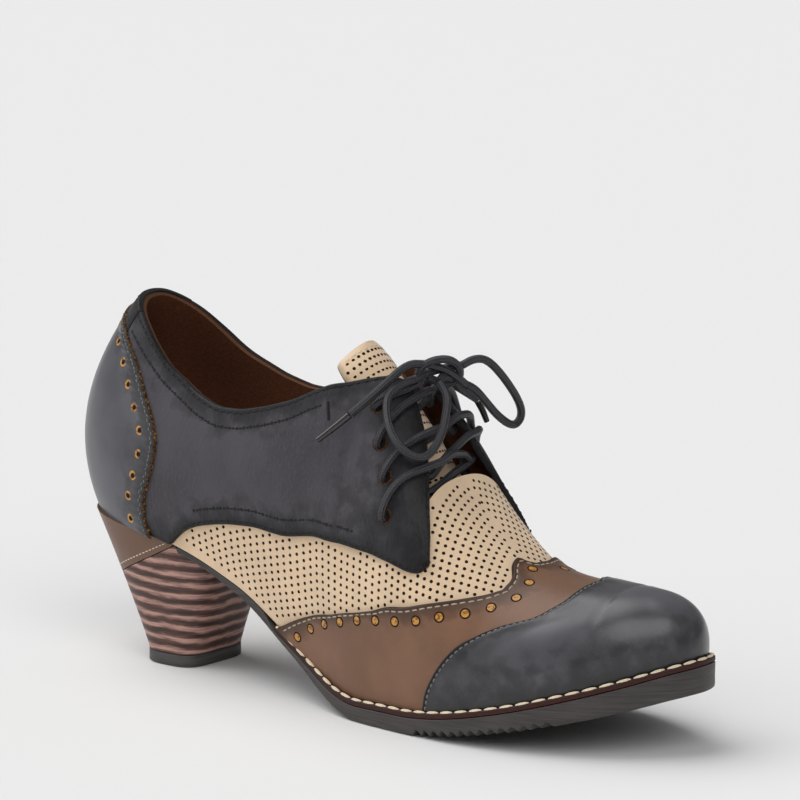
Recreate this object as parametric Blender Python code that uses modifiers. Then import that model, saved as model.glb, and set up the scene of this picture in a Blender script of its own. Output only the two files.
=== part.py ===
"""Right heeled lace-up shoe: a last-shaped upper with its overlays, sole, heel and laces.

The last is worked out from its feather line, the edge where upper and sole meet, and from a
table of sections. Every leather piece is cut from that one form. Modelled with X from the
heel's back to the toe, -Y the outer (lateral) side and +Z up; all lengths are in metres.
"""
import bisect
import math

import bmesh
import bpy
from mathutils import Vector

# Driving sizes of the last
LAST_LENGTH = 0.2510
BALL_WIDTH = 0.0700
INSTEP_HEIGHT = 0.1190
HEEL_LIFT = 0.0510
TOE_SPRING = 0.0225
BALL_EDGE = 0.0085
HEEL_AXIS = 0.169
TOE_AXIS = 0.910

# Leather, gaps and small pieces
GAP = 0.00035
UPPER_WALL = 0.0016
OVERLAY = 0.0016
COUNTER_WALL = 0.0019
CAP_WALL = 0.0020
CUT_DEPTH = 0.0030
CUT_HEIGHT = 0.0060
FEATHER_RELIEF = 0.010
EYELET = 0.0054
TONGUE_WALL = 0.0020
TONGUE_HALF_WIDTH = 0.0135
TONGUE_SINK = 0.0074
TONGUE_ARCH = 0.0080
TAB_HALF_SPAN = 0.0250

# Sole and heel
WELT_THICKNESS = 0.0018
WELT_LEDGE = 0.0026
WELT_START = 0.372
INSOLE_THICKNESS = 0.0020
OUTSOLE_BACK = 0.192
TREAD_DEPTH = 0.0018
TREAD_PITCH = 0.0038
TREAD_START = 0.665
TREAD_END = 0.880
HEEL_TIP_HEIGHT = 0.0045
HEEL_TIP_LENGTH = 0.0265
HEEL_TIP_WIDTH = 0.0333
HEEL_TIP_PLACE = 0.0346
HEEL_SEAT_LENGTH = 0.0650
HEEL_SEAT_WIDTH = 0.0525
HEEL_SEAT_PLACE = 0.0308
HEEL_COVER_HEIGHT = 0.0245
HEEL_COVER_SLOPE = 0.485

# Laces
LACE = 0.0029
LACE_SIDES = 2
LACE_UNDER = -0.0028
LACE_OVER = 0.0042
CROSSING_LIFT = 0.0010
LOW_CROSSING_LIFT = 0.0028

# Feather line seen from above: shares of LAST_LENGTH along, and of BALL_WIDTH to each side
FEATHER_LINE = (
    # along, lateral, medial
    (0.008, 0.136, 0.136),
    (0.025, 0.211, 0.211),
    (0.057, 0.283, 0.283),
    (0.105, 0.334, 0.334),
    (0.169, 0.354, 0.354),
    (0.256, 0.337, 0.343),
    (0.336, 0.323, 0.307),
    (0.436, 0.337, 0.279),
    (0.535, 0.429, 0.336),
    (0.635, 0.471, 0.443),
    (0.734, 0.480, 0.514),
    (0.822, 0.424, 0.514),
    (0.894, 0.311, 0.440),
    (0.938, 0.203, 0.365),
    (0.971, 0.080, 0.318),
    (0.991, -0.012, 0.237),
)
TOE_TIP_SIDE = 0.105

# Height of the sole's underside and its edge: shares of HEEL_LIFT, TOE_SPRING and BALL_EDGE
SOLE_RISE = (
    # along, lift, spring, edge
    (-0.050, 1.058, 0.000, 0.30),
    (0.169, 0.905, 0.000, 0.30),
    (0.296, 0.654, 0.000, 0.42),
    (0.396, 0.330, 0.000, 0.56),
    (0.463, 0.140, 0.000, 0.72),
    (0.515, 0.040, 0.000, 0.84),
    (0.555, 0.000, 0.000, 0.94),
    (0.635, 0.000, 0.000, 1.00),
    (0.674, 0.000, 0.030, 1.01),
    (0.714, 0.000, 0.088, 1.03),
    (0.754, 0.000, 0.166, 1.06),
    (0.814, 0.000, 0.311, 1.12),
    (0.910, 0.000, 0.610, 1.26),
    (1.000, 0.000, 0.950, 1.36),
    (1.050, 0.000, 1.150, 1.40),
)

# The last above its feather line. rise is a share of INSTEP_HEIGHT and centre of BALL_WIDTH;
# side, crown and swell, shoulder place the two handles of a section's curve, as shares of
# its height and half width
SECTIONS = (
    # along, rise, centre, side, crown, swell, shoulder
    (0.000, 0.933, 0.000, 0.40, 0.75, 0.52, 0.60),
    (0.169, 0.933, 0.000, 0.40, 0.75, 0.35, 0.55),
    (0.296, 0.965, 0.000, 0.40, 0.85, 0.60, 0.85),
    (0.396, 0.992, 0.000, 0.45, 0.95, 0.55, 1.15),
    (0.463, 1.000, 0.000, 0.58, 1.00, 0.35, 1.00),
    (0.490, 0.980, 0.000, 0.63, 1.00, 0.28, 0.82),
    (0.515, 0.950, 0.000, 0.68, 1.00, 0.20, 0.68),
    (0.555, 0.882, 0.000, 0.74, 1.00, 0.15, 0.66),
    (0.595, 0.774, 0.000, 0.78, 1.00, 0.12, 0.69),
    (0.615, 0.697, 0.000, 0.80, 1.00, 0.11, 0.74),
    (0.635, 0.628, 0.002, 0.80, 1.00, 0.10, 0.73),
    (0.674, 0.527, 0.010, 0.78, 1.00, 0.09, 0.63),
    (0.714, 0.436, 0.020, 0.74, 1.00, 0.08, 0.55),
    (0.754, 0.357, 0.032, 0.69, 1.00, 0.08, 0.53),
    (0.814, 0.297, 0.055, 0.68, 1.00, 0.08, 0.56),
    (0.910, 0.228, 0.095, 0.71, 1.00, 0.08, 0.62),
    (1.000, 0.228, 0.095, 0.74, 1.00, 0.07, 0.66),
)


def smooth_column(table, column):
    """A curve through one column of a table that never swings past its rows."""
    xs = [row[0] for row in table]
    ys = [row[column] for row in table]
    steps = [b - a for a, b in zip(xs, xs[1:])]
    rates = [(b - a) / step for a, b, step in zip(ys, ys[1:], steps)]
    slopes = [rates[0]]
    for before, after in zip(rates, rates[1:]):
        slopes.append(0.0 if before * after <= 0 else 2 * before * after / (before + after))
    slopes.append(rates[-1])

    def value(x):
        x = min(max(x, xs[0]), xs[-1])
        i = min(max(bisect.bisect_right(xs, x) - 1, 0), len(steps) - 1)
        t = (x - xs[i]) / steps[i]
        lean = steps[i] * (t * (1 - t) ** 2 * slopes[i] - t * t * (1 - t) * slopes[i + 1])
        return ys[i] + (ys[i + 1] - ys[i]) * t * t * (3 - 2 * t) + lean

    return value


lift, spring, edge = (smooth_column(SOLE_RISE, c) for c in (1, 2, 3))
rise, centre, side, crown, swell, shoulder = (smooth_column(SECTIONS, c) for c in range(1, 7))


def sole_low(along):
    """Height of the sole's underside above the floor."""
    return HEEL_LIFT * lift(along) + TOE_SPRING * spring(along)


def feather(along):
    """Height of the feather line above the floor."""
    return sole_low(along) + BALL_EDGE * edge(along)


def feather_loop(samples=600):
    """The feather line from above as closely spaced points, from the heel's back by the lateral side."""
    points = [(0.0, 0.0)]
    points += [(a * LAST_LENGTH, -lateral * BALL_WIDTH) for a, lateral, medial in FEATHER_LINE]
    points.append((LAST_LENGTH, TOE_TIP_SIDE * BALL_WIDTH))
    points += [(a * LAST_LENGTH, medial * BALL_WIDTH) for a, lateral, medial in FEATHER_LINE[::-1]]
    count = len(points)
    knots = [0.0]
    for i in range(count):
        knots.append(knots[-1] + math.dist(points[i], points[(i + 1) % count]))
    slopes = []
    for i in range(count):
        before = knots[i] - knots[i - 1] if i else knots[-1] - knots[-2]
        after = knots[i + 1] - knots[i]
        last, here, following = points[i - 1], points[i], points[(i + 1) % count]
        slopes.append([
            ((here[k] - last[k]) / before * after + (following[k] - here[k]) / after * before) / (before + after)
            for k in (0, 1)
        ])
    loop = []
    for n in range(samples):
        d = knots[-1] * n / samples
        i = min(bisect.bisect_right(knots, d) - 1, count - 1)
        step = knots[i + 1] - knots[i]
        t = (d - knots[i]) / step
        j = (i + 1) % count
        loop.append([
            (1 + 2 * t) * (1 - t) ** 2 * points[i][k] + t * (1 - t) ** 2 * step * slopes[i][k]
            + t * t * (3 - 2 * t) * points[j][k] - t * t * (1 - t) * step * slopes[j][k]
            for k in (0, 1)
        ])
    return loop


FEATHER = feather_loop()
LOOP = len(FEATHER)
TIP = max(range(LOOP), key=lambda i: FEATHER[i][0])


def foot(g):
    """The feather point at place g of the loop, which counts its points from the heel's back."""
    i = math.floor(g)
    t = g - i
    a, b = FEATHER[i % LOOP], FEATHER[(i + 1) % LOOP]
    return a[0] + (b[0] - a[0]) * t, a[1] + (b[1] - a[1]) * t


def place(along, lateral=True):
    """The place on the loop whose feather point lies this share of the length along."""
    low, high = (0.0, float(TIP)) if lateral else (float(LOOP), float(TIP))
    for _ in range(40):
        middle = (low + high) / 2
        if foot(middle)[0] < along * LAST_LENGTH:
            low = middle
        else:
            high = middle
    return (low + high) / 2


def on_last(g, v):
    """A point of the last: g round the feather line, v from it (0) up to the ridge (1)."""
    x, y = foot(g)
    along = x / LAST_LENGTH
    axis = min(max(along, HEEL_AXIS), TOE_AXIS)
    axis_x, axis_y = axis * LAST_LENGTH, centre(axis) * BALL_WIDTH
    low = feather(along)
    height = feather(axis) + rise(axis) * INSTEP_HEIGHT - low
    b0, b1, b2, b3 = (1 - v) ** 3, 3 * v * (1 - v) ** 2, 3 * v * v * (1 - v), v ** 3
    out = b0 + b1 * (1 + swell(along)) + b2 * shoulder(along)
    up = b1 * side(along) + b2 * crown(along) + b3
    return Vector((axis_x + (x - axis_x) * out, axis_y + (y - axis_y) * out, low + height * up))


def off_last(g, v, out):
    """The same point moved out by a distance square to the last."""
    at = min(max(v, 0.001), 0.97)
    along_g = on_last(g + 0.5, at) - on_last(g - 0.5, at)
    along_v = on_last(g, at + 0.001) - on_last(g, at - 0.001)
    normal = along_g.cross(along_v).normalized()
    if v > 0.97:
        axis = min(max(foot(g)[0] / LAST_LENGTH, HEEL_AXIS), TOE_AXIS)
        step = 0.004
        fall = (feather(axis + step) + rise(axis + step) * INSTEP_HEIGHT
                - feather(axis - step) - rise(axis - step) * INSTEP_HEIGHT)
        if axis >= TOE_AXIS:
            fall = 0.0
        top = Vector((-fall, 0, 2 * step * LAST_LENGTH)).normalized()
        normal = normal.lerp(top, (v - 0.97) / 0.03).normalized()
    return on_last(g, v) + normal * out


# Edges of the leather pieces on the last, as places along and girth shares up from the feather line
COLLAR_AND_FACING = (
    # along, girth
    (0.000, 0.690),
    (0.080, 0.617),
    (0.130, 0.559),
    (0.170, 0.512),
    (0.205, 0.487),
    (0.240, 0.465),
    (0.271, 0.459),
    (0.304, 0.472),
    (0.352, 0.516),
    (0.394, 0.562),
    (0.435, 0.604),
    (0.459, 0.630),
    (0.486, 0.680),
    (0.513, 0.765),
    (0.536, 0.880),
    (0.550, 0.930),
    (0.566, 0.892),
    (0.593, 0.835),
    (0.613, 0.772),
    (0.630, 0.686),
    (0.649, 0.567),
    (0.661, 0.450),
)
QUARTER_FOOT = (
    # along, girth
    (0.180, -0.012),
    (0.219, 0.070),
    (0.262, 0.126),
    (0.315, 0.180),
    (0.364, 0.221),
    (0.437, 0.248),
    (0.495, 0.254),
    (0.553, 0.265),
    (0.590, 0.282),
    (0.630, 0.335),
    (0.650, 0.380),
    (0.661, 0.440),
)
THROAT = (
    # along, girth
    (0.470, 0.640),
    (0.500, 0.620),
    (0.525, 0.530),
    (0.545, 0.460),
    (0.565, 0.400),
    (0.590, 0.350),
    (0.612, 0.420),
    (0.625, 0.540),
    (0.632, 0.640),
)
COUNTER_EDGE = (
    # girth, along
    (0.000, 0.155),
    (0.050, 0.149),
    (0.105, 0.151),
    (0.200, 0.165),
    (0.273, 0.170),
    (0.327, 0.163),
    (0.391, 0.144),
    (0.475, 0.113),
    (0.559, 0.059),
    (0.610, 0.014),
    (0.630, 0.002),
)
WING_EDGE = (
    # girth, along on the lateral side, along on the medial side
    (0.000, 0.376, 0.376),
    (0.057, 0.413, 0.413),
    (0.088, 0.445, 0.445),
    (0.118, 0.499, 0.499),
    (0.160, 0.579, 0.579),
    (0.267, 0.651, 0.653),
    (0.432, 0.711, 0.718),
    (0.537, 0.734, 0.740),
    (0.610, 0.746, 0.745),
    (0.656, 0.752, 0.740),
    (0.710, 0.752, 0.734),
    (0.766, 0.749, 0.738),
    (0.862, 0.735, 0.746),
    (0.910, 0.732, 0.748),
    (0.960, 0.742, 0.748),
    (1.000, 0.748, 0.748),
)
CAP_EDGE = (
    # girth, along on the lateral side, along on the medial side
    (0.000, 0.674, 0.670),
    (0.041, 0.679, 0.679),
    (0.094, 0.691, 0.690),
    (0.176, 0.711, 0.704),
    (0.296, 0.740, 0.735),
    (0.417, 0.780, 0.775),
    (0.528, 0.827, 0.803),
    (0.692, 0.848, 0.821),
    (0.897, 0.850, 0.839),
    (1.000, 0.851, 0.851),
)
EYELETS = (
    # along, girth
    (0.536, 0.683),
    (0.557, 0.577),
    (0.577, 0.501),
    (0.589, 0.401),
)
TONGUE = (
    # along, share of TONGUE_SINK below the ridge, share of TONGUE_HALF_WIDTH
    (0.474, 0.60, 0.70),
    (0.482, 0.66, 0.90),
    (0.500, 0.72, 1.00),
    (0.540, 0.98, 1.00),
    (0.570, 1.05, 0.95),
    (0.600, 0.85, 0.92),
    (0.632, 0.50, 0.90),
    (0.660, 0.34, 0.90),
    (0.690, 0.34, 0.86),
)

# How finely the forms are drawn
SIDE_STEPS = 19
HEEL_STEPS = 8
TOE_STEPS = 13
WALL_ROWS = 7
CROWN_ROWS = 4
FORM_MARGIN = 0.030
EDGE_LAP = 0.004

collar_and_facing = smooth_column(COLLAR_AND_FACING, 1)
quarter_foot = smooth_column(QUARTER_FOOT, 1)
throat = smooth_column(THROAT, 1)
counter_edge = smooth_column(COUNTER_EDGE, 1)
wing_edges = [smooth_column(WING_EDGE, c) for c in (1, 2)]
cap_edges = [smooth_column(CAP_EDGE, c) for c in (1, 2)]
THROAT_FRONT = THROAT[-1][0]
THROAT_GIRTH = THROAT[-1][1]
TONGUE_TOP = TONGUE[0][0]


def clear_scene():
    for obj in list(bpy.data.objects):
        bpy.data.objects.remove(obj, do_unlink=True)


def leather(name, colour, roughness):
    """A plain Principled material for one piece."""
    material = bpy.data.materials.new(name)
    material.use_nodes = True
    shader = material.node_tree.nodes["Principled BSDF"]
    shader.inputs["Base Color"].default_value = (*colour, 1.0)
    shader.inputs["Roughness"].default_value = roughness
    shader.inputs["Metallic"].default_value = 0.0
    return material


def new_piece(name, mesh, material, shoe):
    """An object for one sub-part, in the shoe's collection and under its empty."""
    obj = bpy.data.objects.new(name, mesh)
    shoe["pieces"].objects.link(obj)
    obj.parent = shoe["frame"]
    if material:
        mesh.materials.append(material)
    mesh.shade_smooth()
    mesh.set_sharp_from_angle(angle=math.radians(40))
    return obj


def thick_mesh(name, columns, outside, inside, loop=False):
    """A solid wall through columns of points, each point given as (place, girth).

    outside and inside say how far the two faces lie off the last. Points that fall together,
    as on the ridge, are made once, and every free edge is closed by a strip.
    """
    bm = bmesh.new()
    made = {}

    def pair(g, v):
        outer = off_last(g, v, outside)
        key = tuple(round(value, 5) for value in on_last(g, v))
        if key not in made:
            made[key] = (bm.verts.new(outer), bm.verts.new(off_last(g, v, inside)))
        return made[key]

    points = [[pair(g, v) for g, v in column] for column in columns]
    neighbours = list(zip(points, points[1:]))
    if loop:
        neighbours.append((points[-1], points[0]))
    edges = {}
    for left, right in neighbours:
        for low in range(min(len(left), len(right)) - 1):
            corners = []
            for corner in (left[low], right[low], right[low + 1], left[low + 1]):
                if corner not in corners:
                    corners.append(corner)
            if len(corners) < 3:
                continue
            for triangle in (corners[:3], corners[2:] + corners[:1]):
                if len(triangle) == 3:
                    bm.faces.new([corner[0] for corner in triangle])
                    bm.faces.new([corner[1] for corner in reversed(triangle)])
            for a, b in zip(corners, corners[1:] + corners[:1]):
                edges[a, b] = (b, a) not in edges
                if (b, a) in edges:
                    edges[b, a] = False
    for (a, b), free in edges.items():
        if free:
            bm.faces.new((b[0], a[0], a[1], b[1]))
    return finish_mesh(name, bm)


def surface_mesh(name, columns):
    """An open surface through columns of points, all with as many points."""
    bm = bmesh.new()
    rows = [[bm.verts.new(point) for point in column] for column in columns]
    for left, right in zip(rows, rows[1:]):
        for low in range(len(left) - 1):
            bm.faces.new((left[low], right[low], right[low + 1], left[low + 1]))
    return finish_mesh(name, bm)


def finish_mesh(name, bm):
    bmesh.ops.recalc_face_normals(bm, faces=bm.faces)
    mesh = bpy.data.meshes.new(name)
    bm.to_mesh(mesh)
    bm.free()
    return mesh


def loft_mesh(name, rings):
    """A closed solid through rings of points, all with as many points, capped at both ends."""
    bm = bmesh.new()
    loops = [[bm.verts.new(point) for point in ring] for ring in rings]
    for low, high in zip(loops, loops[1:]):
        for i in range(len(low)):
            j = (i + 1) % len(low)
            bm.faces.new((low[i], low[j], high[j], high[i]))
    bm.faces.new(loops[0][::-1])
    bm.faces.new(loops[-1])
    return finish_mesh(name, bm)


def cut(obj, cutter, operation="DIFFERENCE"):
    boolean = obj.modifiers.new("Cut", "BOOLEAN")
    boolean.operation = operation
    boolean.object = cutter
    boolean.solver = "EXACT"


def new_cutter(name, mesh, shoe):
    obj = bpy.data.objects.new(name, mesh)
    shoe["cutters"].objects.link(obj)
    obj.parent = shoe["frame"]
    obj.hide_render = True
    obj.display_type = "WIRE"
    return obj


def side_alongs():
    """Shares of the length where the sides' sections stand."""
    return [HEEL_AXIS + (TOE_AXIS - HEEL_AXIS) * i / SIDE_STEPS for i in range(SIDE_STEPS + 1)]


def stations():
    """Places round the whole feather line, from the heel's back by the lateral side."""
    lateral = [place(a) for a in side_alongs()]
    medial = [place(a, lateral=False) for a in side_alongs()]
    heel = [lateral[0] * i / HEEL_STEPS for i in range(HEEL_STEPS)]
    toe = [lateral[-1] + (medial[-1] - lateral[-1]) * i / TOE_STEPS for i in range(1, TOE_STEPS)]
    heel_back = [medial[0] + (LOOP - medial[0]) * i / HEEL_STEPS for i in range(1, HEEL_STEPS)]
    return heel + lateral + toe + medial[::-1] + heel_back


def along_of(g):
    return foot(g)[0] / LAST_LENGTH


def wall_top(along):
    """Girth share where the walls' rows end: the collar behind, the start of the crown ahead."""
    return collar_and_facing(along) if along < THROAT[0][0] else THROAT_GIRTH


def form_columns(low, past_collar=True):
    """Points of the whole last's form: its walls to the collar, or a little past it, and its crown."""
    columns = []
    for g in stations():
        along = along_of(g)
        top = wall_top(along)
        limit = 1.0 if along >= TONGUE_TOP - 0.030 else top + FORM_MARGIN
        shares = [low] + [top * i / WALL_ROWS for i in range(1, WALL_ROWS + 1)]
        if past_collar or along >= THROAT[0][0]:
            shares += [top + (limit - top) * i / CROWN_ROWS for i in range(1, CROWN_ROWS + 1)]
        columns.append([(g, v) for v in shares])
    return columns


def make_upper(shoe):
    """One hollow wall all round, open at the collar and the throat and closed ahead of it."""
    mesh = thick_mesh("upper", form_columns(0.0, past_collar=False), 0.0, -UPPER_WALL, loop=True)
    obj = new_piece("upper", mesh, leather("tan nubuck", (0.66, 0.48, 0.28), 0.8), shoe)
    rows, steps = 8, 16
    first = THROAT[0][0] - 0.006
    grid = []
    for i in range(steps + 1):
        along = first + (THROAT_FRONT - first) * (1 - (1 - i / steps) ** 1.3)
        edge = throat(along)
        grid.append([(place(along, k <= 0), edge + (1 - edge) * (1 - abs(k) / rows)) for k in range(-rows, rows + 1)])
    cut(obj, region_cutter("throat_cut", grid, shoe))
    return obj


def overlay_form(name, wall, colour, roughness, shoe):
    """A leather of this thickness laid over the whole last, from which one piece is cut."""
    mesh = thick_mesh(name, form_columns(FEATHER_RELIEF), GAP + wall, GAP, loop=True)
    return new_piece(name, mesh, leather(name.replace("_", " "), colour, roughness), shoe)


def region_cutter(name, columns, shoe):
    """A block that stands over one region of the last."""
    return new_cutter(name, thick_mesh(name, columns, CUT_HEIGHT, -CUT_DEPTH), shoe)


def counter_front(girth):
    """Distance along the feather line from the heel's back to the counter's front edge."""
    return place(max(counter_edge(girth), 0.0006))


def loop_step():
    """Distance between neighbouring points of the feather loop."""
    return sum(math.dist(FEATHER[i], FEATHER[i - 1]) for i in range(LOOP)) / LOOP


def counter_region(grow):
    rows, columns = 12, 16
    girths = [-0.02 + (COUNTER_EDGE[-1][0] + 0.02) * k / rows for k in range(rows + 1)]
    reaches = [counter_front(girth) + grow / loop_step() for girth in girths]
    girths = [girth + 1.3 * grow / INSTEP_HEIGHT for girth in girths]
    return [[(LOOP + (2 * i / columns - 1) * reach, girth) for girth, reach in zip(girths, reaches)]
            for i in range(columns + 1)]


def tab_region(grow):
    columns = 12
    reach = (TAB_HALF_SPAN + grow) / loop_step()
    grid = []
    for i in range(columns + 1):
        g = LOOP + reach * (2 * i / columns - 1)
        top = collar_and_facing(along_of(g)) + (FORM_MARGIN * 2 if grow else EDGE_LAP)
        grid.append([(g, 0.48 + (top - 0.48) * k / 4) for k in range(5)])
    return grid


def quarter_region(lateral):
    """From under the counter to the facing, between the quarter's lower edge and its top edge."""
    first, last = 0.012, QUARTER_FOOT[-1][0] - 0.0006
    columns, rows = 28, 6
    grid = []
    for i in range(columns + 1):
        along = first + (last - first) * (1 - (1 - i / columns) ** 1.4)
        g = place(along, lateral)
        low, high = quarter_foot(along), collar_and_facing(along) + EDGE_LAP
        grid.append([(g, low + (high - low) * k / rows) for k in range(rows + 1)])
    return grid


def make_quarter(name, lateral, shoe):
    obj = overlay_form(name, OVERLAY, (0.050, 0.046, 0.056), 0.5, shoe)
    cut(obj, region_cutter(f"{name}_region", quarter_region(lateral), shoe), "INTERSECT")
    cut(obj, shoe["counter_clear"])
    cut(obj, shoe["tab_clear"])
    for number, (along, girth) in enumerate(EYELETS, 1):
        point, outward, inward = eyelet_frame(lateral, along, girth)
        bm = bmesh.new()
        bmesh.ops.create_cone(bm, cap_ends=True, segments=10, radius1=EYELET / 2, radius2=EYELET / 2,
                              depth=8 * OVERLAY)
        bm.transform(outward.to_track_quat("Z", "Y").to_matrix().to_4x4())
        bmesh.ops.translate(bm, verts=bm.verts, vec=point + outward * (GAP + OVERLAY / 2))
        cut(obj, new_cutter(f"{name}_punch_{number}", finish_mesh("punch", bm), shoe))
    return obj


def eyelet_frame(lateral, along, girth):
    """An eyelet's centre on the last, the way out of the leather, and the way to the facing's edge."""
    g = place(along, lateral)
    point = off_last(g, girth, 0.0)
    outward = (off_last(g, girth, 0.001) - point).normalized()
    upward = on_last(g, girth + 0.02) - on_last(g, girth - 0.02)
    forward = on_last(place(along + 0.01, lateral), girth) - on_last(place(along - 0.01, lateral), girth)
    inward = (upward.normalized() + 0.4 * forward.normalized()).normalized()
    return point, outward, (inward - outward * inward.dot(outward)).normalized()


def make_counter(shoe):
    obj = overlay_form("counter", COUNTER_WALL, (0.045, 0.050, 0.062), 0.35, shoe)
    cut(obj, region_cutter("counter_region", counter_region(0.0), shoe), "INTERSECT")
    return obj


def make_collar_tab(shoe):
    """The strip over the back seam, between the counter's tip and the collar's edge."""
    obj = overlay_form("collar_tab", COUNTER_WALL, (0.05, 0.05, 0.06), 0.45, shoe)
    cut(obj, region_cutter("tab_region", tab_region(0.0), shoe), "INTERSECT")
    cut(obj, shoe["counter_clear"])
    return obj


def over_foot(back, front, columns):
    """Points of a region that crosses the foot between two edges, each a pair of functions of girth."""
    rows = 16
    shares = [(1 - abs(k) / rows) ** 1.15 for k in range(-rows, rows + 1)]
    grid = []
    for k, share in zip(range(-rows, rows + 1), shares):
        lateral = k <= 0
        girth = -0.02 + 1.02 * share
        side = 0 if lateral else 1
        start, end = back[side](girth), front[side](girth)
        grid.append([(place(start + (end - start) * i / columns, lateral), girth) for i in range(columns + 1)])
    return grid


def moved(edges, shift):
    return [lambda girth, edge=edge: edge(girth) + shift for edge in edges]


def make_wing(shoe):
    obj = overlay_form("wing", OVERLAY, (0.20, 0.13, 0.085), 0.45, shoe)
    grid = over_foot(wing_edges, moved(cap_edges, -GAP / LAST_LENGTH), 8)
    cut(obj, region_cutter("wing_region", grid, shoe), "INTERSECT")
    return obj


def make_toe_cap(shoe):
    obj = overlay_form("toe_cap", CAP_WALL, (0.022, 0.026, 0.034), 0.28, shoe)
    behind = over_foot([lambda girth: CAP_EDGE[0][1] - 0.10] * 2, cap_edges, 12)
    cut(obj, region_cutter("cap_clear", behind, shoe))
    bm = bmesh.new()
    bmesh.ops.create_cube(bm, size=LAST_LENGTH)
    start = (CAP_EDGE[0][1] - 0.06) * LAST_LENGTH
    bmesh.ops.translate(bm, verts=bm.verts, vec=(start + LAST_LENGTH / 2, 0.0, 0.0))
    cut(obj, new_cutter("forepart", finish_mesh("forepart", bm), shoe), "INTERSECT")
    return obj


def ridge(along):
    """The last's top line."""
    return Vector((along * LAST_LENGTH, centre(along) * BALL_WIDTH, feather(along) + rise(along) * INSTEP_HEIGHT))



tongue_sink, tongue_width = smooth_column(TONGUE, 1), smooth_column(TONGUE, 2)


def on_tongue(along, across, depth=0.0):
    """A point of the tongue's top face, or below it: along the foot, and -1 to 1 across."""
    slope = (ridge(along + 0.004) - ridge(along - 0.004)).normalized()
    down = Vector((slope.z, 0, -slope.x))
    point = ridge(along) + down * (TONGUE_SINK * tongue_sink(along) + TONGUE_ARCH * across * across + depth)
    point.y += across * tongue_width(along) * TONGUE_HALF_WIDTH
    return point


def make_tongue(shoe):
    rows, columns = 12, 8
    first, last = TONGUE[0][0], TONGUE[-1][0]
    grid = [[on_tongue(first + (last - first) * k / rows, 2 * i / columns - 1) for k in range(rows + 1)]
            for i in range(columns + 1)]
    obj = new_piece("tongue", surface_mesh("tongue", grid), leather("tongue", (0.66, 0.48, 0.28), 0.8), shoe)
    wall = obj.modifiers.new("Wall", "SOLIDIFY")
    wall.thickness = TONGUE_WALL
    wall.offset = 1.0 if obj.data.polygons[0].normal.z < 0 else -1.0
    return obj


def outline(margin):
    """The feather line from above moved out by margin(along): x, y and the share it came from."""
    points = []
    for i in range(LOOP):
        ahead, behind = FEATHER[(i + 2) % LOOP], FEATHER[i - 2]
        dx, dy = ahead[0] - behind[0], ahead[1] - behind[1]
        size = math.hypot(dx, dy)
        along = FEATHER[i][0] / LAST_LENGTH
        out = margin(along)
        points.append((FEATHER[i][0] + dy / size * out, FEATHER[i][1] - dx / size * out, along))
    return points


TIP_START = 0.78


def level_share(along, source):
    """Where a point's height is read: at its own place, but round the toe at the place it was moved from."""
    share = min(max((along - TIP_START) / (TOE_AXIS - TIP_START), 0.0), 1.0)
    return along + (source - along) * share


def sides_at(points, x):
    """The lateral and the medial point of an outline at x, each as its y and where its height is read."""
    found = []
    for i in range(len(points)):
        a, b = points[i - 1], points[i]
        if (a[0] - x) * (b[0] - x) <= 0 and a[0] != b[0]:
            t = (x - a[0]) / (b[0] - a[0])
            source = a[2] + (b[2] - a[2]) * t
            found.append((a[1] + (b[1] - a[1]) * t, level_share(x / LAST_LENGTH, source)))
    return min(found), max(found)


def slab_mesh(name, points, alongs, low, high):
    """A solid inside an outline, drawn as cross strips between two heights."""
    rings = []
    for number, along in enumerate(alongs):
        x = along * LAST_LENGTH
        (left, a), (right, b) = sides_at(points, x)
        rings.append([(x, left, low(a, number)), (x, right, low(b, number)),
                      (x, right, high(b)), (x, left, high(a))])
    return loft_mesh(name, rings)


def spread(start, end, count, round_end=True):
    """Shares from start to end, closer together towards a round end."""
    if not round_end:
        return [start + (end - start) * i / count for i in range(count + 1)]
    return [start + (end - start) * math.sin(math.pi / 2 * i / count) for i in range(count + 1)]


SOLE_MARGIN = (
    # along, margin as a share of the full ledge
    (-0.05, 0.00),
    (0.24, 0.02),
    (0.33, 0.14),
    (0.40, 0.45),
    (0.48, 0.85),
    (0.56, 1.00),
    (1.00, 1.00),
)
sole_margin = smooth_column(SOLE_MARGIN, 1)
FULL_LEDGE = GAP + CAP_WALL + WELT_LEDGE


def ledge(along):
    return FULL_LEDGE * sole_margin(along) - GAP


def welt_share(along):
    """0 behind the welt and 1 along it, with a short ramp where it starts."""
    ramp = 0.020
    return min(max((along - WELT_START + ramp + 0.004) / ramp, 0.0), 1.0)


def sole_top(along):
    return feather(along) - GAP - welt_share(along) * (WELT_THICKNESS + GAP)


WELT_RAMP = [WELT_START - 0.024, WELT_START - 0.004]


def sole_stations():
    """Shares of the length from the outsole's back to the first rib."""
    return sorted(spread(OUTSOLE_BACK, TREAD_START, 22, round_end=False) + WELT_RAMP)


def make_outsole(shoe):
    points = outline(ledge)
    tip = max(point[0] for point in points) / LAST_LENGTH
    alongs = sole_stations()
    depths = [0.0] * len(alongs)
    pitch = TREAD_PITCH / LAST_LENGTH
    ribs = int((TREAD_END - TREAD_START) / pitch)
    for i in range(ribs):
        start = TREAD_START + i * pitch
        alongs += [start + 0.30 * pitch, start + 0.55 * pitch, start + pitch]
        depths += [TREAD_DEPTH, TREAD_DEPTH * 0.8, 0.0]
    front = spread(alongs[-1], tip - 0.0006, 9)[1:]
    alongs += front
    depths += [0.0] * len(front)
    mesh = slab_mesh("outsole", points, alongs, lambda a, n: sole_low(a) + depths[n], sole_top)
    return new_piece("outsole", mesh, leather("outsole", (0.045, 0.038, 0.034), 0.6), shoe)


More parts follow.
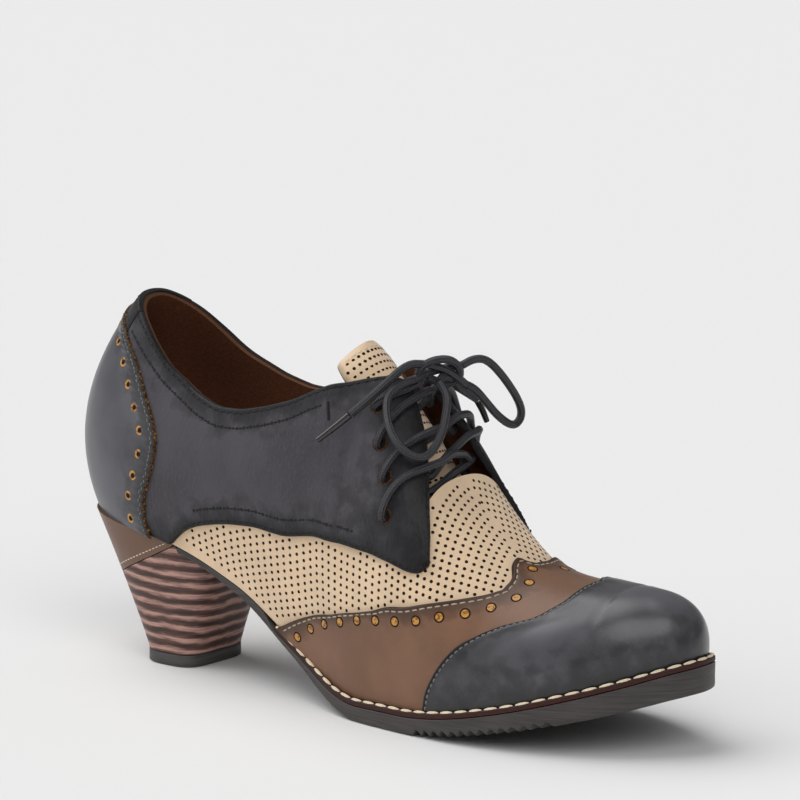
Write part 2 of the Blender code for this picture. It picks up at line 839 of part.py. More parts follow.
def make_insole(shoe):
    points = outline(lambda along: -UPPER_WALL - 2 * GAP)
    back = min(point[0] for point in points) / LAST_LENGTH + 0.0012
    tip = max(point[0] for point in points) / LAST_LENGTH - 0.0012
    heel = [back + (OUTSOLE_BACK - back) * (1 - math.cos(math.pi / 2 * i / 8)) for i in range(8)]
    alongs = heel + sole_stations() + spread(TREAD_START, tip, 9)[1:]
    mesh = slab_mesh("insole", points, alongs, lambda a, n: sole_top(a) + GAP,
                     lambda a: feather(a) + INSOLE_THICKNESS)
    return new_piece("insole", mesh, leather("insole", (0.16, 0.09, 0.05), 0.7), shoe)


def make_welt(shoe):
    """A narrow ring on the outsole, outside the insole, from the waist round the toe and back."""
    outer, inner = outline(ledge), outline(lambda along: -UPPER_WALL)
    start, end = place(WELT_START), place(WELT_START, lateral=False)
    rings = []
    toe_start, toe_end = place(0.86), place(0.86, lateral=False)
    places = [start + (toe_start - start) * i / 13 for i in range(13)]
    places += [toe_start + (toe_end - toe_start) * i / 18 for i in range(18)]
    places += [toe_end + (end - toe_end) * i / 13 for i in range(14)]
    for g in places:
        i = round(g) % LOOP
        ring = []
        for line, lifted in ((inner, 0), (outer, 0), (outer, 1), (inner, 1)):
            x, y, source = line[i]
            along = level_share(x / LAST_LENGTH, source)
            ring.append((x, y, feather(along) - GAP - (0 if lifted else WELT_THICKNESS)))
        rings.append(ring)
    return new_piece("welt", loft_mesh("welt", rings), leather("welt", (0.16, 0.08, 0.05), 0.6), shoe)


def heel_ring(share, z, points=32):
    """A level ring of the heel, from its tip (share 0) to its seat (share 1): round behind, flat in front."""
    ease = share ** 1.08
    place_x = HEEL_TIP_PLACE + (HEEL_SEAT_PLACE - HEEL_TIP_PLACE) * ease
    length = HEEL_TIP_LENGTH + (HEEL_SEAT_LENGTH - HEEL_TIP_LENGTH) * ease
    width = HEEL_TIP_WIDTH + (HEEL_SEAT_WIDTH - HEEL_TIP_WIDTH) * ease
    ring = []
    for i in range(points):
        angle = 2 * math.pi * i / points
        c, s = math.cos(angle), math.sin(angle)
        power = 2 / 4.0 if c > 0 else 2 / 2.4
        ring.append((
            place_x + math.copysign(abs(c) ** power, c) * length / 2,
            math.copysign(abs(s) ** power, s) * width / 2,
            z,
        ))
    return ring


def seat_cutter(shoe):
    """Everything above the heel's seat: the insole behind, and the outsole where it passes over."""
    span = HEEL_SEAT_WIDTH
    top = 2 * HEEL_LIFT
    step = OUTSOLE_BACK - GAP / LAST_LENGTH
    alongs = [-0.08 + (step + 0.08) * i / 8 for i in range(9)]
    floors = [feather(max(a, 0.0)) - GAP for a in alongs]
    ahead = [step + 1e-6 + (0.34 - step) * i / 6 for i in range(7)]
    alongs += ahead
    floors += [sole_low(a) - GAP for a in ahead]
    rings = []
    for along, floor in zip(alongs, floors):
        x = along * LAST_LENGTH
        rings.append([(x, -span, floor), (x, span, floor), (x, span, top), (x, -span, top)])
    return new_cutter("seat_cutter", loft_mesh("seat_cutter", rings), shoe)


def slope_cutter(name, drop, shoe):
    """A block above the sloping line where the heel's cover ends."""
    bm = bmesh.new()
    bmesh.ops.create_cube(bm, size=0.3)
    bmesh.ops.translate(bm, verts=bm.verts, vec=(0, 0, 0.15))
    turn = Vector((-HEEL_COVER_SLOPE, 0, 1)).to_track_quat("Z", "Y").to_matrix().to_4x4()
    bm.transform(turn)
    bmesh.ops.translate(bm, verts=bm.verts, vec=(0, 0, HEEL_COVER_HEIGHT - drop))
    return new_cutter(name, finish_mesh(name, bm), shoe)


def make_heel(shoe):
    """The layered block and the leather cover over its upper back, split by one sloping cut."""
    base = HEEL_TIP_HEIGHT + GAP
    top = HEEL_LIFT + 0.3 * HEEL_LIFT
    levels = 7
    rings = [heel_ring(1.25 * i / levels, base + (top - base) * i / levels) for i in range(levels + 1)]
    seat = seat_cutter(shoe)
    stack = new_piece("heel_stack", loft_mesh("heel_stack", rings), leather("heel stack", (0.36, 0.22, 0.17), 0.6), shoe)
    cut(stack, seat)
    cut(stack, slope_cutter("stack_slope", GAP, shoe))
    cover = new_piece("heel_cover", loft_mesh("heel_cover", rings), leather("heel cover", (0.19, 0.13, 0.09), 0.5), shoe)
    cut(cover, seat)
    cut(cover, slope_cutter("cover_slope", 0.0, shoe), "INTERSECT")
    tip = loft_mesh("heel_tip", [heel_ring(0.0, 0.0), heel_ring(0.0, HEEL_TIP_HEIGHT)])
    new_piece("heel_tip", tip, leather("heel tip", (0.05, 0.045, 0.042), 0.7), shoe)


def settle(shoe):
    """Moves the whole shoe so that its origin is under the middle of its box, on the floor."""
    bpy.context.view_layer.update()
    graph = bpy.context.evaluated_depsgraph_get()
    corners = []
    for obj in shoe["pieces"].objects:
        if obj.name.startswith(CORD_NAMES):
            continue
        evaluated = obj.evaluated_get(graph)
        corners += [obj.matrix_world @ Vector(corner) for corner in evaluated.bound_box]
    low = [min(corner[k] for corner in corners) for k in range(3)]
    high = [max(corner[k] for corner in corners) for k in range(3)]
    shoe["frame"].location = (-(low[0] + high[0]) / 2, -(low[1] + high[1]) / 2, -low[2])


CORD_NAMES = ("lace_knot", "lace_loop", "lace_end", "aglet")

# Free stretches of the lace: points chosen by eye, in metres
KNOT = (
    (0.1443, -0.0054, 0.1163), (0.1482, -0.0050, 0.1200), (0.1512, -0.0010, 0.1212), (0.1518, 0.0034, 0.1192),
    (0.1494, 0.0058, 0.1162),
)
LOOP_FRONT = (
    (0.1518, -0.0052, 0.1170), (0.1560, -0.0062, 0.1130), (0.1578, -0.0088, 0.1085), (0.1596, -0.0140, 0.1000),
    (0.1582, -0.0205, 0.0930), (0.1534, -0.0265, 0.0957), (0.1478, -0.0274, 0.1024), (0.1434, -0.0242, 0.1085),
    (0.1412, -0.0207, 0.1130), (0.1422, -0.0165, 0.1160), (0.1436, -0.0125, 0.1174), (0.1439, -0.0090, 0.1176),
)
LOOP_BACK = (
    (0.1523, 0.0065, 0.1213), (0.1540, 0.0110, 0.1232), (0.1558, 0.0160, 0.1226), (0.1573, 0.0230, 0.1162),
    (0.1588, 0.0310, 0.1060), (0.1586, 0.0332, 0.1000), (0.1566, 0.0310, 0.0962), (0.1548, 0.0245, 0.1005),
    (0.1540, 0.0170, 0.1080), (0.1535, 0.0126, 0.1122), (0.1519, 0.0090, 0.1143),
)
END_FRONT = (
    (0.1458, -0.0075, 0.1230), (0.1440, -0.0105, 0.1234), (0.1420, -0.0142, 0.1218), (0.1388, -0.0193, 0.1166),
    (0.1340, -0.0240, 0.1106), (0.1300, -0.0268, 0.1064),
)
AGLET_FRONT = ((0.1296, -0.0271, 0.1060), (0.1247, -0.0300, 0.1012), (0.1201, -0.0328, 0.0968))
END_BACK = ((0.1487, 0.0088, 0.1129), (0.1489, 0.0114, 0.1114), (0.1488, 0.0150, 0.1095), (0.1488, 0.0192, 0.1072))
AGLET_BACK = ((0.1489, 0.0199, 0.1066), (0.1492, 0.0226, 0.1024), (0.1496, 0.0245, 0.0984))
KNOT_WIDTH = 0.0062
AGLET = 0.0030


def tube(name, points, width, material, shoe):
    """A cord along these points, as a curve with a round bevel and closed ends."""
    data = bpy.data.curves.new(name, "CURVE")
    data.dimensions = "3D"
    spline = data.splines.new("POLY")
    spline.points.add(len(points) - 1)
    for point, at in zip(spline.points, points):
        point.co = (*at, 1.0)
    data.bevel_depth = width / 2
    data.bevel_resolution = LACE_SIDES
    data.use_fill_caps = True
    obj = bpy.data.objects.new(name, data)
    shoe["pieces"].objects.link(obj)
    obj.parent = shoe["frame"]
    if material:
        data.materials.append(material)
    return obj


def rounded(points, times=2):
    """The same line with its corners cut, keeping its ends."""
    for _ in range(times):
        cut_line = [points[0]]
        for a, b in zip(points, points[1:]):
            cut_line += [a * 0.75 + b * 0.25, a * 0.25 + b * 0.75]
        points = cut_line + [points[-1]]
    return points


def thinned(points, least, most, bend=0.26):
    """The same line with fewer points: it keeps its ends, its bends and a point at least every so often."""
    kept = [points[0]]
    heading = (points[1] - points[0]).normalized()
    for i in range(1, len(points) - 1):
        step = (points[i] - kept[-1]).length
        turn = heading.angle((points[i + 1] - points[i]).normalized(), 0.0)
        if step > least and (turn > bend or step > most):
            kept.append(points[i])
            heading = (points[i + 1] - points[i]).normalized()
    return kept + [points[-1]]


def over_surface(lateral, along, girth, target, out):
    """Points from an eyelet to its facing's edge along the last's surface, heading for a target."""
    g = place(along, lateral)
    step = 0.002
    track = []
    for _ in range(16):
        here = on_last(g, girth)
        normal = (off_last(g, girth, 0.001) - here).normalized()
        heading = target - here
        heading = (heading - normal * heading.dot(normal)).normalized()
        track.append((here + normal * out, normal, heading))
        if girth > min(collar_and_facing(along_of(g)) + 0.045, 0.985) or (target - here).length < 0.009:
            break
        du = on_last(g + 0.5, girth) - on_last(g - 0.5, girth)
        dv = (on_last(g, girth + 0.005) - on_last(g, girth - 0.005)) * 100
        a, b, c = du.dot(du), du.dot(dv), dv.dot(dv)
        p, q = heading.dot(du) * step, heading.dot(dv) * step
        g += (p * c - q * b) / (a * c - b * b)
        girth += (q * a - p * b) / (a * c - b * b)
    return track


def clear_of_tongue(point, clearance):
    """The point, or where it must be lifted to so that it stays this far over the tongue."""
    along, half = point.x / LAST_LENGTH, TONGUE_HALF_WIDTH
    for _ in range(6):
        across = max(-1.0, min(1.0, point.y / (half * tongue_width(along))))
        base = on_tongue(along, across)
        slope = (ridge(along + 0.004) - ridge(along - 0.004)).normalized()
        along += (point - base).dot(slope) / slope.x / LAST_LENGTH * 0.7
    up = Vector((-slope.z, 0, slope.x))
    if abs(point.y) > half * tongue_width(along) + clearance:
        return point
    height = (point - base).dot(up)
    return point + up * max(clearance - height, 0.0)


def lace_run(first, second, own_out, far_out, lift):
    """The lace from one eyelet to another: over (or under) each facing, and across between them."""
    start = on_last(place(first[1], first[0]), first[2])
    end = on_last(place(second[1], second[0]), second[2])
    ahead = over_surface(*first, end, own_out)
    behind = over_surface(*second, start, far_out)
    a, b = ahead[-1][0], behind[-1][0]
    middle = [a.lerp(b, share) + Vector((lift * 0.3, 0, lift)) for share in (0.25, 0.5, 0.75)]
    middle = [clear_of_tongue(point, LACE / 2 + 3 * GAP + lift) for point in middle]
    return ahead, middle, behind[::-1]


def through_eyelet(point, normal, arriving, leaving):
    """Points that take the lace up through an eyelet, from under the leather to over it."""
    back = (arriving + leaving) * 0.00045
    return [
        point + normal * LACE_UNDER + arriving * 0.0014,
        point - normal * 0.0014 - back,
        point + normal * 0.0010 - back * 1.2,
        point + normal * 0.0032 - back,
        point + normal * LACE_OVER + leaving * 0.0014,
    ]


def lace_line(first_side):
    """One zigzag of the lace: from the lowest eyelet of one side up to the top eyelet."""
    under, over = LACE_UNDER, LACE_OVER
    eyelets = [(n % 2 == 1 if first_side else n % 2 == 0, *EYELETS[n]) for n in (3, 2, 1, 0)]
    lifts = [LOW_CROSSING_LIFT, *[CROSSING_LIFT if eyelet[0] else 0.0 for eyelet in eyelets[1:]]]
    runs = [lace_run(a, b, over, under, rise) for a, b, rise in zip(eyelets, eyelets[1:], lifts)]
    other = (not eyelets[0][0], *EYELETS[3])
    bar = lace_run(eyelets[0], other, under, under, 0.0)
    points = list(reversed([bar[1][1]] + [bar[1][0]] + [step[0] for step in bar[0][::-1]]))
    points.reverse()
    arriving = bar[0][0][2]
    for number, eyelet in enumerate(eyelets):
        g = place(eyelet[1], eyelet[0])
        point = on_last(g, eyelet[2])
        normal = (off_last(g, eyelet[2], 0.001) - point).normalized()
        if number < len(runs):
            leaving = runs[number][0][0][2]
        else:
            aim = Vector(KNOT[0 if eyelet[0] else -1]) - point
            leaving = (aim - normal * aim.dot(normal)).normalized()
        points = points[:-2] + through_eyelet(point, normal, arriving, leaving)
        if number < len(runs):
            ahead, middle, behind = runs[number]
            points += [step[0] for step in ahead[2:]] + middle + [step[0] for step in behind]
            arriving = behind[-1][2]
    last = over_surface(*eyelets[-1], Vector(KNOT[0 if eyelets[-1][0] else -1]), over)
    points += [step[0] for step in last[2:]]
    return points


def make_laces(shoe):
    """The crossings of the lace, joined where they touch."""
    colour = leather("lace", (0.035, 0.035, 0.045), 0.55)
    strands = []
    for name, side in (("lace_bars", True), ("lace_strand", False)):
        line = [clear_of_tongue(point, LACE / 2 + 3 * GAP) for point in rounded(lace_line(side))]
        points = thinned(line, 0.0015, 0.0070, bend=0.34)
        obj = tube(name + "_line", points, LACE, None, shoe)
        bpy.context.view_layer.update()
        graph = bpy.context.evaluated_depsgraph_get()
        mesh = bpy.data.meshes.new_from_object(obj.evaluated_get(graph))
        bpy.data.objects.remove(obj, do_unlink=True)
        bm = bmesh.new()
        bm.from_mesh(mesh)
        bmesh.ops.remove_doubles(bm, verts=bm.verts, dist=1e-5)
        strands.append(finish_mesh(name, bm))
    bars = new_piece("lace_bars", strands[0], colour, shoe)
    cut(bars, new_cutter("lace_strand", strands[1], shoe), "UNION")
    free = (
        ("lace_knot", KNOT, KNOT_WIDTH),
        ("lace_loop_front", LOOP_FRONT, LACE),
        ("lace_loop_back", LOOP_BACK, LACE),
        ("lace_end_front", END_FRONT, LACE),
        ("lace_end_back", END_BACK, LACE),
        ("aglet_front", AGLET_FRONT, AGLET),
        ("aglet_back", AGLET_BACK, AGLET),
    )
    for name, points, width in free:
        line = [Vector(point) for point in points]
        tube(name, thinned(rounded(line), 0.0012, 0.0060, bend=0.2), width, colour, shoe)


def main():
    clear_scene()
    scene = bpy.context.scene
    pieces = bpy.data.collections.new("heeled shoe")
    cutters = bpy.data.collections.new("cutters")
    scene.collection.children.link(pieces)
    scene.collection.children.link(cutters)
    frame = bpy.data.objects.new("shoe_frame", None)
    pieces.objects.link(frame)
    shoe = {"pieces": pieces, "cutters": cutters, "frame": frame}
    shoe["counter_clear"] = region_cutter("counter_clear", counter_region(GAP), shoe)
    shoe["tab_clear"] = region_cutter("tab_clear", tab_region(GAP), shoe)
    make_upper(shoe)
    make_quarter("quarter_lateral", True, shoe)
    make_quarter("quarter_medial", False, shoe)
    make_counter(shoe)
    make_collar_tab(shoe)
    make_wing(shoe)
    make_toe_cap(shoe)
    make_tongue(shoe)
    make_insole(shoe)
    make_outsole(shoe)
    make_welt(shoe)
    make_heel(shoe)
    make_laces(shoe)
    settle(shoe)


if __name__ == "__main__":
    main()
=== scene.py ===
"""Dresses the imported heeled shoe: leathers, perforations, stitches, laces, welt, sole and heel.

Laid out as a Blender add-on and run as a script. Lengths are in metres, with X from the heel's back
to the toe, -Y the outer (lateral) side and +Z up.
"""
import math

import bmesh
import bpy
import numpy as np
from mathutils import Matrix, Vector


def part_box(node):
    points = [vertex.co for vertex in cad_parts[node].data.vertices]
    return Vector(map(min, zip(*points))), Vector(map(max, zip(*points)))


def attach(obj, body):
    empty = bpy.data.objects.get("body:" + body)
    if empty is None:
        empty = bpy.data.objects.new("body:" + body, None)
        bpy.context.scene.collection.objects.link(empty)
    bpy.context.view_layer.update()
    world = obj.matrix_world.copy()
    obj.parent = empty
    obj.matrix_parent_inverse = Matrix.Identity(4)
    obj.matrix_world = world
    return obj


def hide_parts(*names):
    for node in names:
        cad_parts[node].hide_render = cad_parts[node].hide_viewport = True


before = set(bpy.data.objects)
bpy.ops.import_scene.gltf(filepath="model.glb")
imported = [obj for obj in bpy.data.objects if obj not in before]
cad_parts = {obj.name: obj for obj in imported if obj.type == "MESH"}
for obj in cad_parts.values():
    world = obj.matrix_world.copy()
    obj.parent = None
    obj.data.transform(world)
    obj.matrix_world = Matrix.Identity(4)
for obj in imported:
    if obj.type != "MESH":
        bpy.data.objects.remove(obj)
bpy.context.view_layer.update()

bl_info = {
    "name": "Heeled Lace-up Shoe",
    "version": (1, 0, 0),
    "blender": (4, 5, 0),
    "location": "3D View > Sidebar > Shoe",
    "description": "Dresses a shoe with its leathers, stitches, laces, sole and heel",
    "category": "Object",
}

# Sizes of the last and the leathers, the same as in the part's source
LAST_LENGTH = 0.2510
BALL_WIDTH = 0.0700
INSTEP_HEIGHT = 0.1190
HEEL_LIFT = 0.0510
TOE_SPRING = 0.0225
BALL_EDGE = 0.0085
HEEL_AXIS = 0.169
TOE_AXIS = 0.910
GAP = 0.00035
UPPER_WALL = 0.0016
OVERLAY = 0.0016
COUNTER_WALL = 0.0019
CAP_WALL = 0.0020
EYELET = 0.0054
TONGUE_WALL = 0.0020
TONGUE_HALF_WIDTH = 0.0135
TONGUE_SINK = 0.0074
TONGUE_ARCH = 0.0080
TAB_HALF_SPAN = 0.0250
WELT_THICKNESS = 0.0018
WELT_LEDGE = 0.0026
WELT_START = 0.372
INSOLE_THICKNESS = 0.0020
OUTSOLE_BACK = 0.192
TREAD_DEPTH = 0.0018
TREAD_PITCH = 0.0038
TREAD_START = 0.665
TREAD_END = 0.880
HEEL_TIP_HEIGHT = 0.0045
HEEL_TIP_LENGTH = 0.0265
HEEL_TIP_WIDTH = 0.0333
HEEL_TIP_PLACE = 0.0346
HEEL_SEAT_LENGTH = 0.0650
HEEL_SEAT_WIDTH = 0.0525
HEEL_SEAT_PLACE = 0.0308
HEEL_COVER_HEIGHT = 0.0245
HEEL_COVER_SLOPE = 0.485
LACE = 0.0029
LACE_UNDER = -0.0028
LACE_OVER = 0.0042
CROSSING_LIFT = 0.0010
LOW_CROSSING_LIFT = 0.0028
AGLET = 0.0030

FEATHER_LINE = (
    # along, lateral, medial
    (0.008, 0.136, 0.136), (0.025, 0.211, 0.211), (0.057, 0.283, 0.283), (0.105, 0.334, 0.334),
    (0.169, 0.354, 0.354), (0.256, 0.337, 0.343), (0.336, 0.323, 0.307), (0.436, 0.337, 0.279),
    (0.535, 0.429, 0.336), (0.635, 0.471, 0.443), (0.734, 0.480, 0.514), (0.822, 0.424, 0.514),
    (0.894, 0.311, 0.440), (0.938, 0.203, 0.365), (0.971, 0.080, 0.318), (0.991, -0.012, 0.237),
)
TOE_TIP_SIDE = 0.105
SOLE_RISE = (
    # along, lift, spring, edge
    (-0.050, 1.058, 0.000, 0.30), (0.169, 0.905, 0.000, 0.30), (0.296, 0.654, 0.000, 0.42),
    (0.396, 0.330, 0.000, 0.56), (0.463, 0.140, 0.000, 0.72), (0.515, 0.040, 0.000, 0.84),
    (0.555, 0.000, 0.000, 0.94), (0.635, 0.000, 0.000, 1.00), (0.674, 0.000, 0.030, 1.01),
    (0.714, 0.000, 0.088, 1.03), (0.754, 0.000, 0.166, 1.06), (0.814, 0.000, 0.311, 1.12),
    (0.910, 0.000, 0.610, 1.26), (1.000, 0.000, 0.950, 1.36), (1.050, 0.000, 1.150, 1.40),
)
SECTIONS = (
    # along, rise, centre, side, crown, swell, shoulder
    (0.000, 0.933, 0.000, 0.40, 0.75, 0.52, 0.60), (0.169, 0.933, 0.000, 0.40, 0.75, 0.35, 0.55),
    (0.296, 0.965, 0.000, 0.40, 0.85, 0.60, 0.85), (0.396, 0.992, 0.000, 0.45, 0.95, 0.55, 1.15),
    (0.463, 1.000, 0.000, 0.58, 1.00, 0.35, 1.00), (0.490, 0.980, 0.000, 0.63, 1.00, 0.28, 0.82),
    (0.515, 0.950, 0.000, 0.68, 1.00, 0.20, 0.68), (0.555, 0.882, 0.000, 0.74, 1.00, 0.15, 0.66),
    (0.595, 0.774, 0.000, 0.78, 1.00, 0.12, 0.69), (0.615, 0.697, 0.000, 0.80, 1.00, 0.11, 0.74),
    (0.635, 0.628, 0.002, 0.80, 1.00, 0.10, 0.73), (0.674, 0.527, 0.010, 0.78, 1.00, 0.09, 0.63),
    (0.714, 0.436, 0.020, 0.74, 1.00, 0.08, 0.55), (0.754, 0.357, 0.032, 0.69, 1.00, 0.08, 0.53),
    (0.814, 0.297, 0.055, 0.68, 1.00, 0.08, 0.56), (0.862, 0.2655, 0.075, 0.695, 1.00, 0.08, 0.59),
    (0.888, 0.2455, 0.086, 0.703, 1.00, 0.08, 0.607), (0.910, 0.228, 0.095, 0.71, 1.00, 0.08, 0.62),
    (1.000, 0.228, 0.095, 0.74, 1.00, 0.07, 0.66),
)
COLLAR_AND_FACING = (
    # along, girth
    (0.000, 0.690), (0.080, 0.617), (0.130, 0.559), (0.170, 0.512), (0.205, 0.487), (0.240, 0.465),
    (0.271, 0.459), (0.304, 0.472), (0.352, 0.516), (0.394, 0.562), (0.435, 0.604), (0.459, 0.630),
    (0.486, 0.680), (0.513, 0.765), (0.536, 0.880), (0.550, 0.930), (0.566, 0.892), (0.593, 0.835),
    (0.613, 0.772), (0.630, 0.686), (0.649, 0.567), (0.661, 0.450),
)
QUARTER_FOOT = (
    # along, girth
    (0.180, -0.012), (0.219, 0.070), (0.262, 0.126), (0.315, 0.180), (0.364, 0.221), (0.437, 0.248),
    (0.495, 0.254), (0.553, 0.265), (0.590, 0.282), (0.630, 0.335), (0.650, 0.380), (0.661, 0.440),
)
THROAT = (
    # along, girth
    (0.470, 0.640), (0.500, 0.620), (0.525, 0.530), (0.545, 0.460), (0.565, 0.400), (0.590, 0.350),
    (0.612, 0.420), (0.625, 0.540), (0.632, 0.640),
)
COUNTER_EDGE = (
    # girth, along
    (0.000, 0.155), (0.050, 0.149), (0.105, 0.151), (0.200, 0.165), (0.273, 0.170), (0.327, 0.163),
    (0.391, 0.144), (0.475, 0.113), (0.559, 0.059), (0.610, 0.014), (0.630, 0.002),
)
WING_EDGE = (
    # girth, along on the lateral side, along on the medial side
    (0.000, 0.376, 0.376), (0.057, 0.413, 0.413), (0.088, 0.445, 0.445), (0.118, 0.499, 0.499),
    (0.160, 0.579, 0.579), (0.267, 0.651, 0.653), (0.432, 0.711, 0.718), (0.537, 0.734, 0.740),
    (0.610, 0.746, 0.745), (0.656, 0.752, 0.740), (0.710, 0.752, 0.734), (0.766, 0.749, 0.738),
    (0.862, 0.735, 0.746), (0.910, 0.732, 0.748), (0.960, 0.742, 0.748), (1.000, 0.748, 0.748),
)
CAP_EDGE = (
    # girth, along on the lateral side, along on the medial side
    (0.000, 0.674, 0.670), (0.041, 0.679, 0.679), (0.094, 0.691, 0.690), (0.176, 0.711, 0.704),
    (0.296, 0.740, 0.735), (0.417, 0.780, 0.775), (0.528, 0.827, 0.803), (0.692, 0.848, 0.821),
    (0.897, 0.850, 0.839), (1.000, 0.851, 0.851),
)
EYELETS = (
    # along, girth
    (0.536, 0.683), (0.557, 0.577), (0.577, 0.501), (0.589, 0.401),
)
TONGUE = (
    # along, share of TONGUE_SINK below the ridge, share of TONGUE_HALF_WIDTH
    (0.474, 0.60, 0.70), (0.482, 0.66, 0.90), (0.500, 0.72, 1.00), (0.540, 0.98, 1.00),
    (0.570, 1.05, 0.95), (0.600, 0.85, 0.92), (0.632, 0.50, 0.90), (0.660, 0.34, 0.90),
    (0.690, 0.34, 0.86),
)
SOLE_MARGIN = (
    # along, margin as a share of the full ledge
    (-0.05, 0.00), (0.24, 0.02), (0.33, 0.14), (0.40, 0.45), (0.48, 0.85), (0.56, 1.00), (1.00, 1.00),
)

# Free stretches of the lace, in the last's own frame
KNOT = (
    (0.1443, -0.0054, 0.1163), (0.1482, -0.0050, 0.1200), (0.1512, -0.0010, 0.1212), (0.1518, 0.0034, 0.1192),
    (0.1494, 0.0058, 0.1162),
)
LOOP_FRONT = (
    (0.1518, -0.0052, 0.1170), (0.1560, -0.0062, 0.1130),
    (0.1578, -0.0088, 0.1085), (0.1596, -0.0140, 0.1000),
    (0.1582, -0.0205, 0.0930), (0.1534, -0.0265, 0.0957),
    (0.1478, -0.0274, 0.1024), (0.1434, -0.0242, 0.1085),
    (0.1412, -0.0207, 0.1130), (0.1422, -0.0165, 0.1160),
    (0.1436, -0.0125, 0.1174), (0.1439, -0.0090, 0.1176),
)
LOOP_BACK = (
    (0.1523, 0.0065, 0.1213), (0.1540, 0.0110, 0.1232), (0.1558, 0.0160, 0.1226), (0.1573, 0.0230, 0.1162),
    (0.1588, 0.0310, 0.1060), (0.1586, 0.0332, 0.1000), (0.1566, 0.0310, 0.0962), (0.1548, 0.0245, 0.1005),
    (0.1540, 0.0170, 0.1080), (0.1535, 0.0126, 0.1122), (0.1519, 0.0090, 0.1143),
)
END_FRONT = (
    (0.1458, -0.0075, 0.1230), (0.1440, -0.0105, 0.1234),
    (0.1420, -0.0142, 0.1218), (0.1388, -0.0193, 0.1166),
    (0.1340, -0.0240, 0.1106), (0.1300, -0.0268, 0.1064),
)
AGLET_FRONT = ((0.1296, -0.0271, 0.1060), (0.1247, -0.0300, 0.1012), (0.1201, -0.0328, 0.0968))
END_BACK = (
    (0.1487, 0.0088, 0.1129), (0.1489, 0.0114, 0.1114), (0.1488, 0.0150, 0.1095), (0.1488, 0.0192, 0.1072),
)
AGLET_BACK = ((0.1489, 0.0199, 0.1066), (0.1492, 0.0226, 0.1024), (0.1496, 0.0245, 0.0984))

# Where the last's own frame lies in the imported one, read off the heel's tip
tip_low, tip_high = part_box("heel_tip")
TIP_BACK = HEEL_TIP_PLACE - HEEL_TIP_LENGTH / 2
SHIFT = np.array((tip_low.x - TIP_BACK, (tip_low.y + tip_high.y) / 2, 0.0))

# Creases: soft troughs and ridges of the worn leather, in the shoe's own sizes
CREASES = (
    # along, girth, side (-1 lateral, 1 medial), turn in degrees, half length, half width, depth
    (0.585, 0.325, -1, 70, 0.0070, 0.0026, 0.00035),
    (0.600, 0.360, -1, 60, 0.0060, 0.0022, -0.00022),
    (0.575, 0.300, -1, 80, 0.0050, 0.0020, 0.00020),
    (0.470, 0.420, -1, 75, 0.0160, 0.0050, 0.00030),
    (0.435, 0.400, -1, 80, 0.0180, 0.0060, -0.00025),
    (0.395, 0.330, -1, 82, 0.0150, 0.0050, 0.00025),
    (0.300, 0.300, -1, 85, 0.0160, 0.0070, 0.00020),
    (0.520, 0.560, -1, 80, 0.0200, 0.0024, 0.00018),
    (0.505, 0.520, -1, 84, 0.0220, 0.0020, -0.00014),
    (0.585, 0.325, 1, 70, 0.0070, 0.0026, 0.00030),
    (0.470, 0.420, 1, 75, 0.0160, 0.0050, 0.00030),
    (0.435, 0.400, 1, 80, 0.0180, 0.0060, -0.00025),
    (0.395, 0.330, 1, 82, 0.0150, 0.0050, 0.00025),
)

# The camera in the last's own frame, found from the photograph
CAMERA_TARGET = (0.1302, 0.0, 0.1072)
CAMERA_AZIMUTH = 38.54
CAMERA_ELEVATION = 11.32
CAMERA_ROLL = 0.33
CAMERA_DISTANCE = 1.8309
CAMERA_LENS = 236.5
CAMERA_SENSOR = 36.0


def table_curve(table, column=1):
    """A curve through one column of a table that never swings past its rows."""
    xs = np.array([row[0] for row in table])
    ys = np.array([row[column] for row in table])
    steps = np.diff(xs)
    rates = np.diff(ys) / steps
    before, after = rates[:-1], rates[1:]
    total = np.where(before + after == 0, 1.0, before + after)
    inner = np.where(before * after > 0, 2 * before * after / total, 0.0)
    slopes = np.concatenate(([rates[0]], inner, [rates[-1]]))

    def value(x):
        x = np.clip(x, xs[0], xs[-1])
        i = np.clip(np.searchsorted(xs, x, side="right") - 1, 0, len(steps) - 1)
        t = (x - xs[i]) / steps[i]
        lean = steps[i] * (t * (1 - t) ** 2 * slopes[i] - t * t * (1 - t) * slopes[i + 1])
        return ys[i] + (ys[i + 1] - ys[i]) * t * t * (3 - 2 * t) + lean

    return value


lift, spring, edge = (table_curve(SOLE_RISE, c) for c in (1, 2, 3))
rise, centre, side, crown, swell, shoulder = (table_curve(SECTIONS, c) for c in range(1, 7))
collar_and_facing = table_curve(COLLAR_AND_FACING)
quarter_foot = table_curve(QUARTER_FOOT)
throat = table_curve(THROAT)
counter_edge = table_curve(COUNTER_EDGE)
wing_edges = [table_curve(WING_EDGE, c) for c in (1, 2)]
cap_edges = [table_curve(CAP_EDGE, c) for c in (1, 2)]
tongue_sink, tongue_width = table_curve(TONGUE, 1), table_curve(TONGUE, 2)
sole_margin = table_curve(SOLE_MARGIN)
THROAT_BACK, THROAT_FRONT = THROAT[0][0], THROAT[-1][0]


def sole_low(along):
    """Height of the sole's underside above the floor."""
    return HEEL_LIFT * lift(along) + TOE_SPRING * spring(along)


def feather(along):
    """Height of the feather line, where upper and sole meet."""
    return sole_low(along) + BALL_EDGE * edge(along)


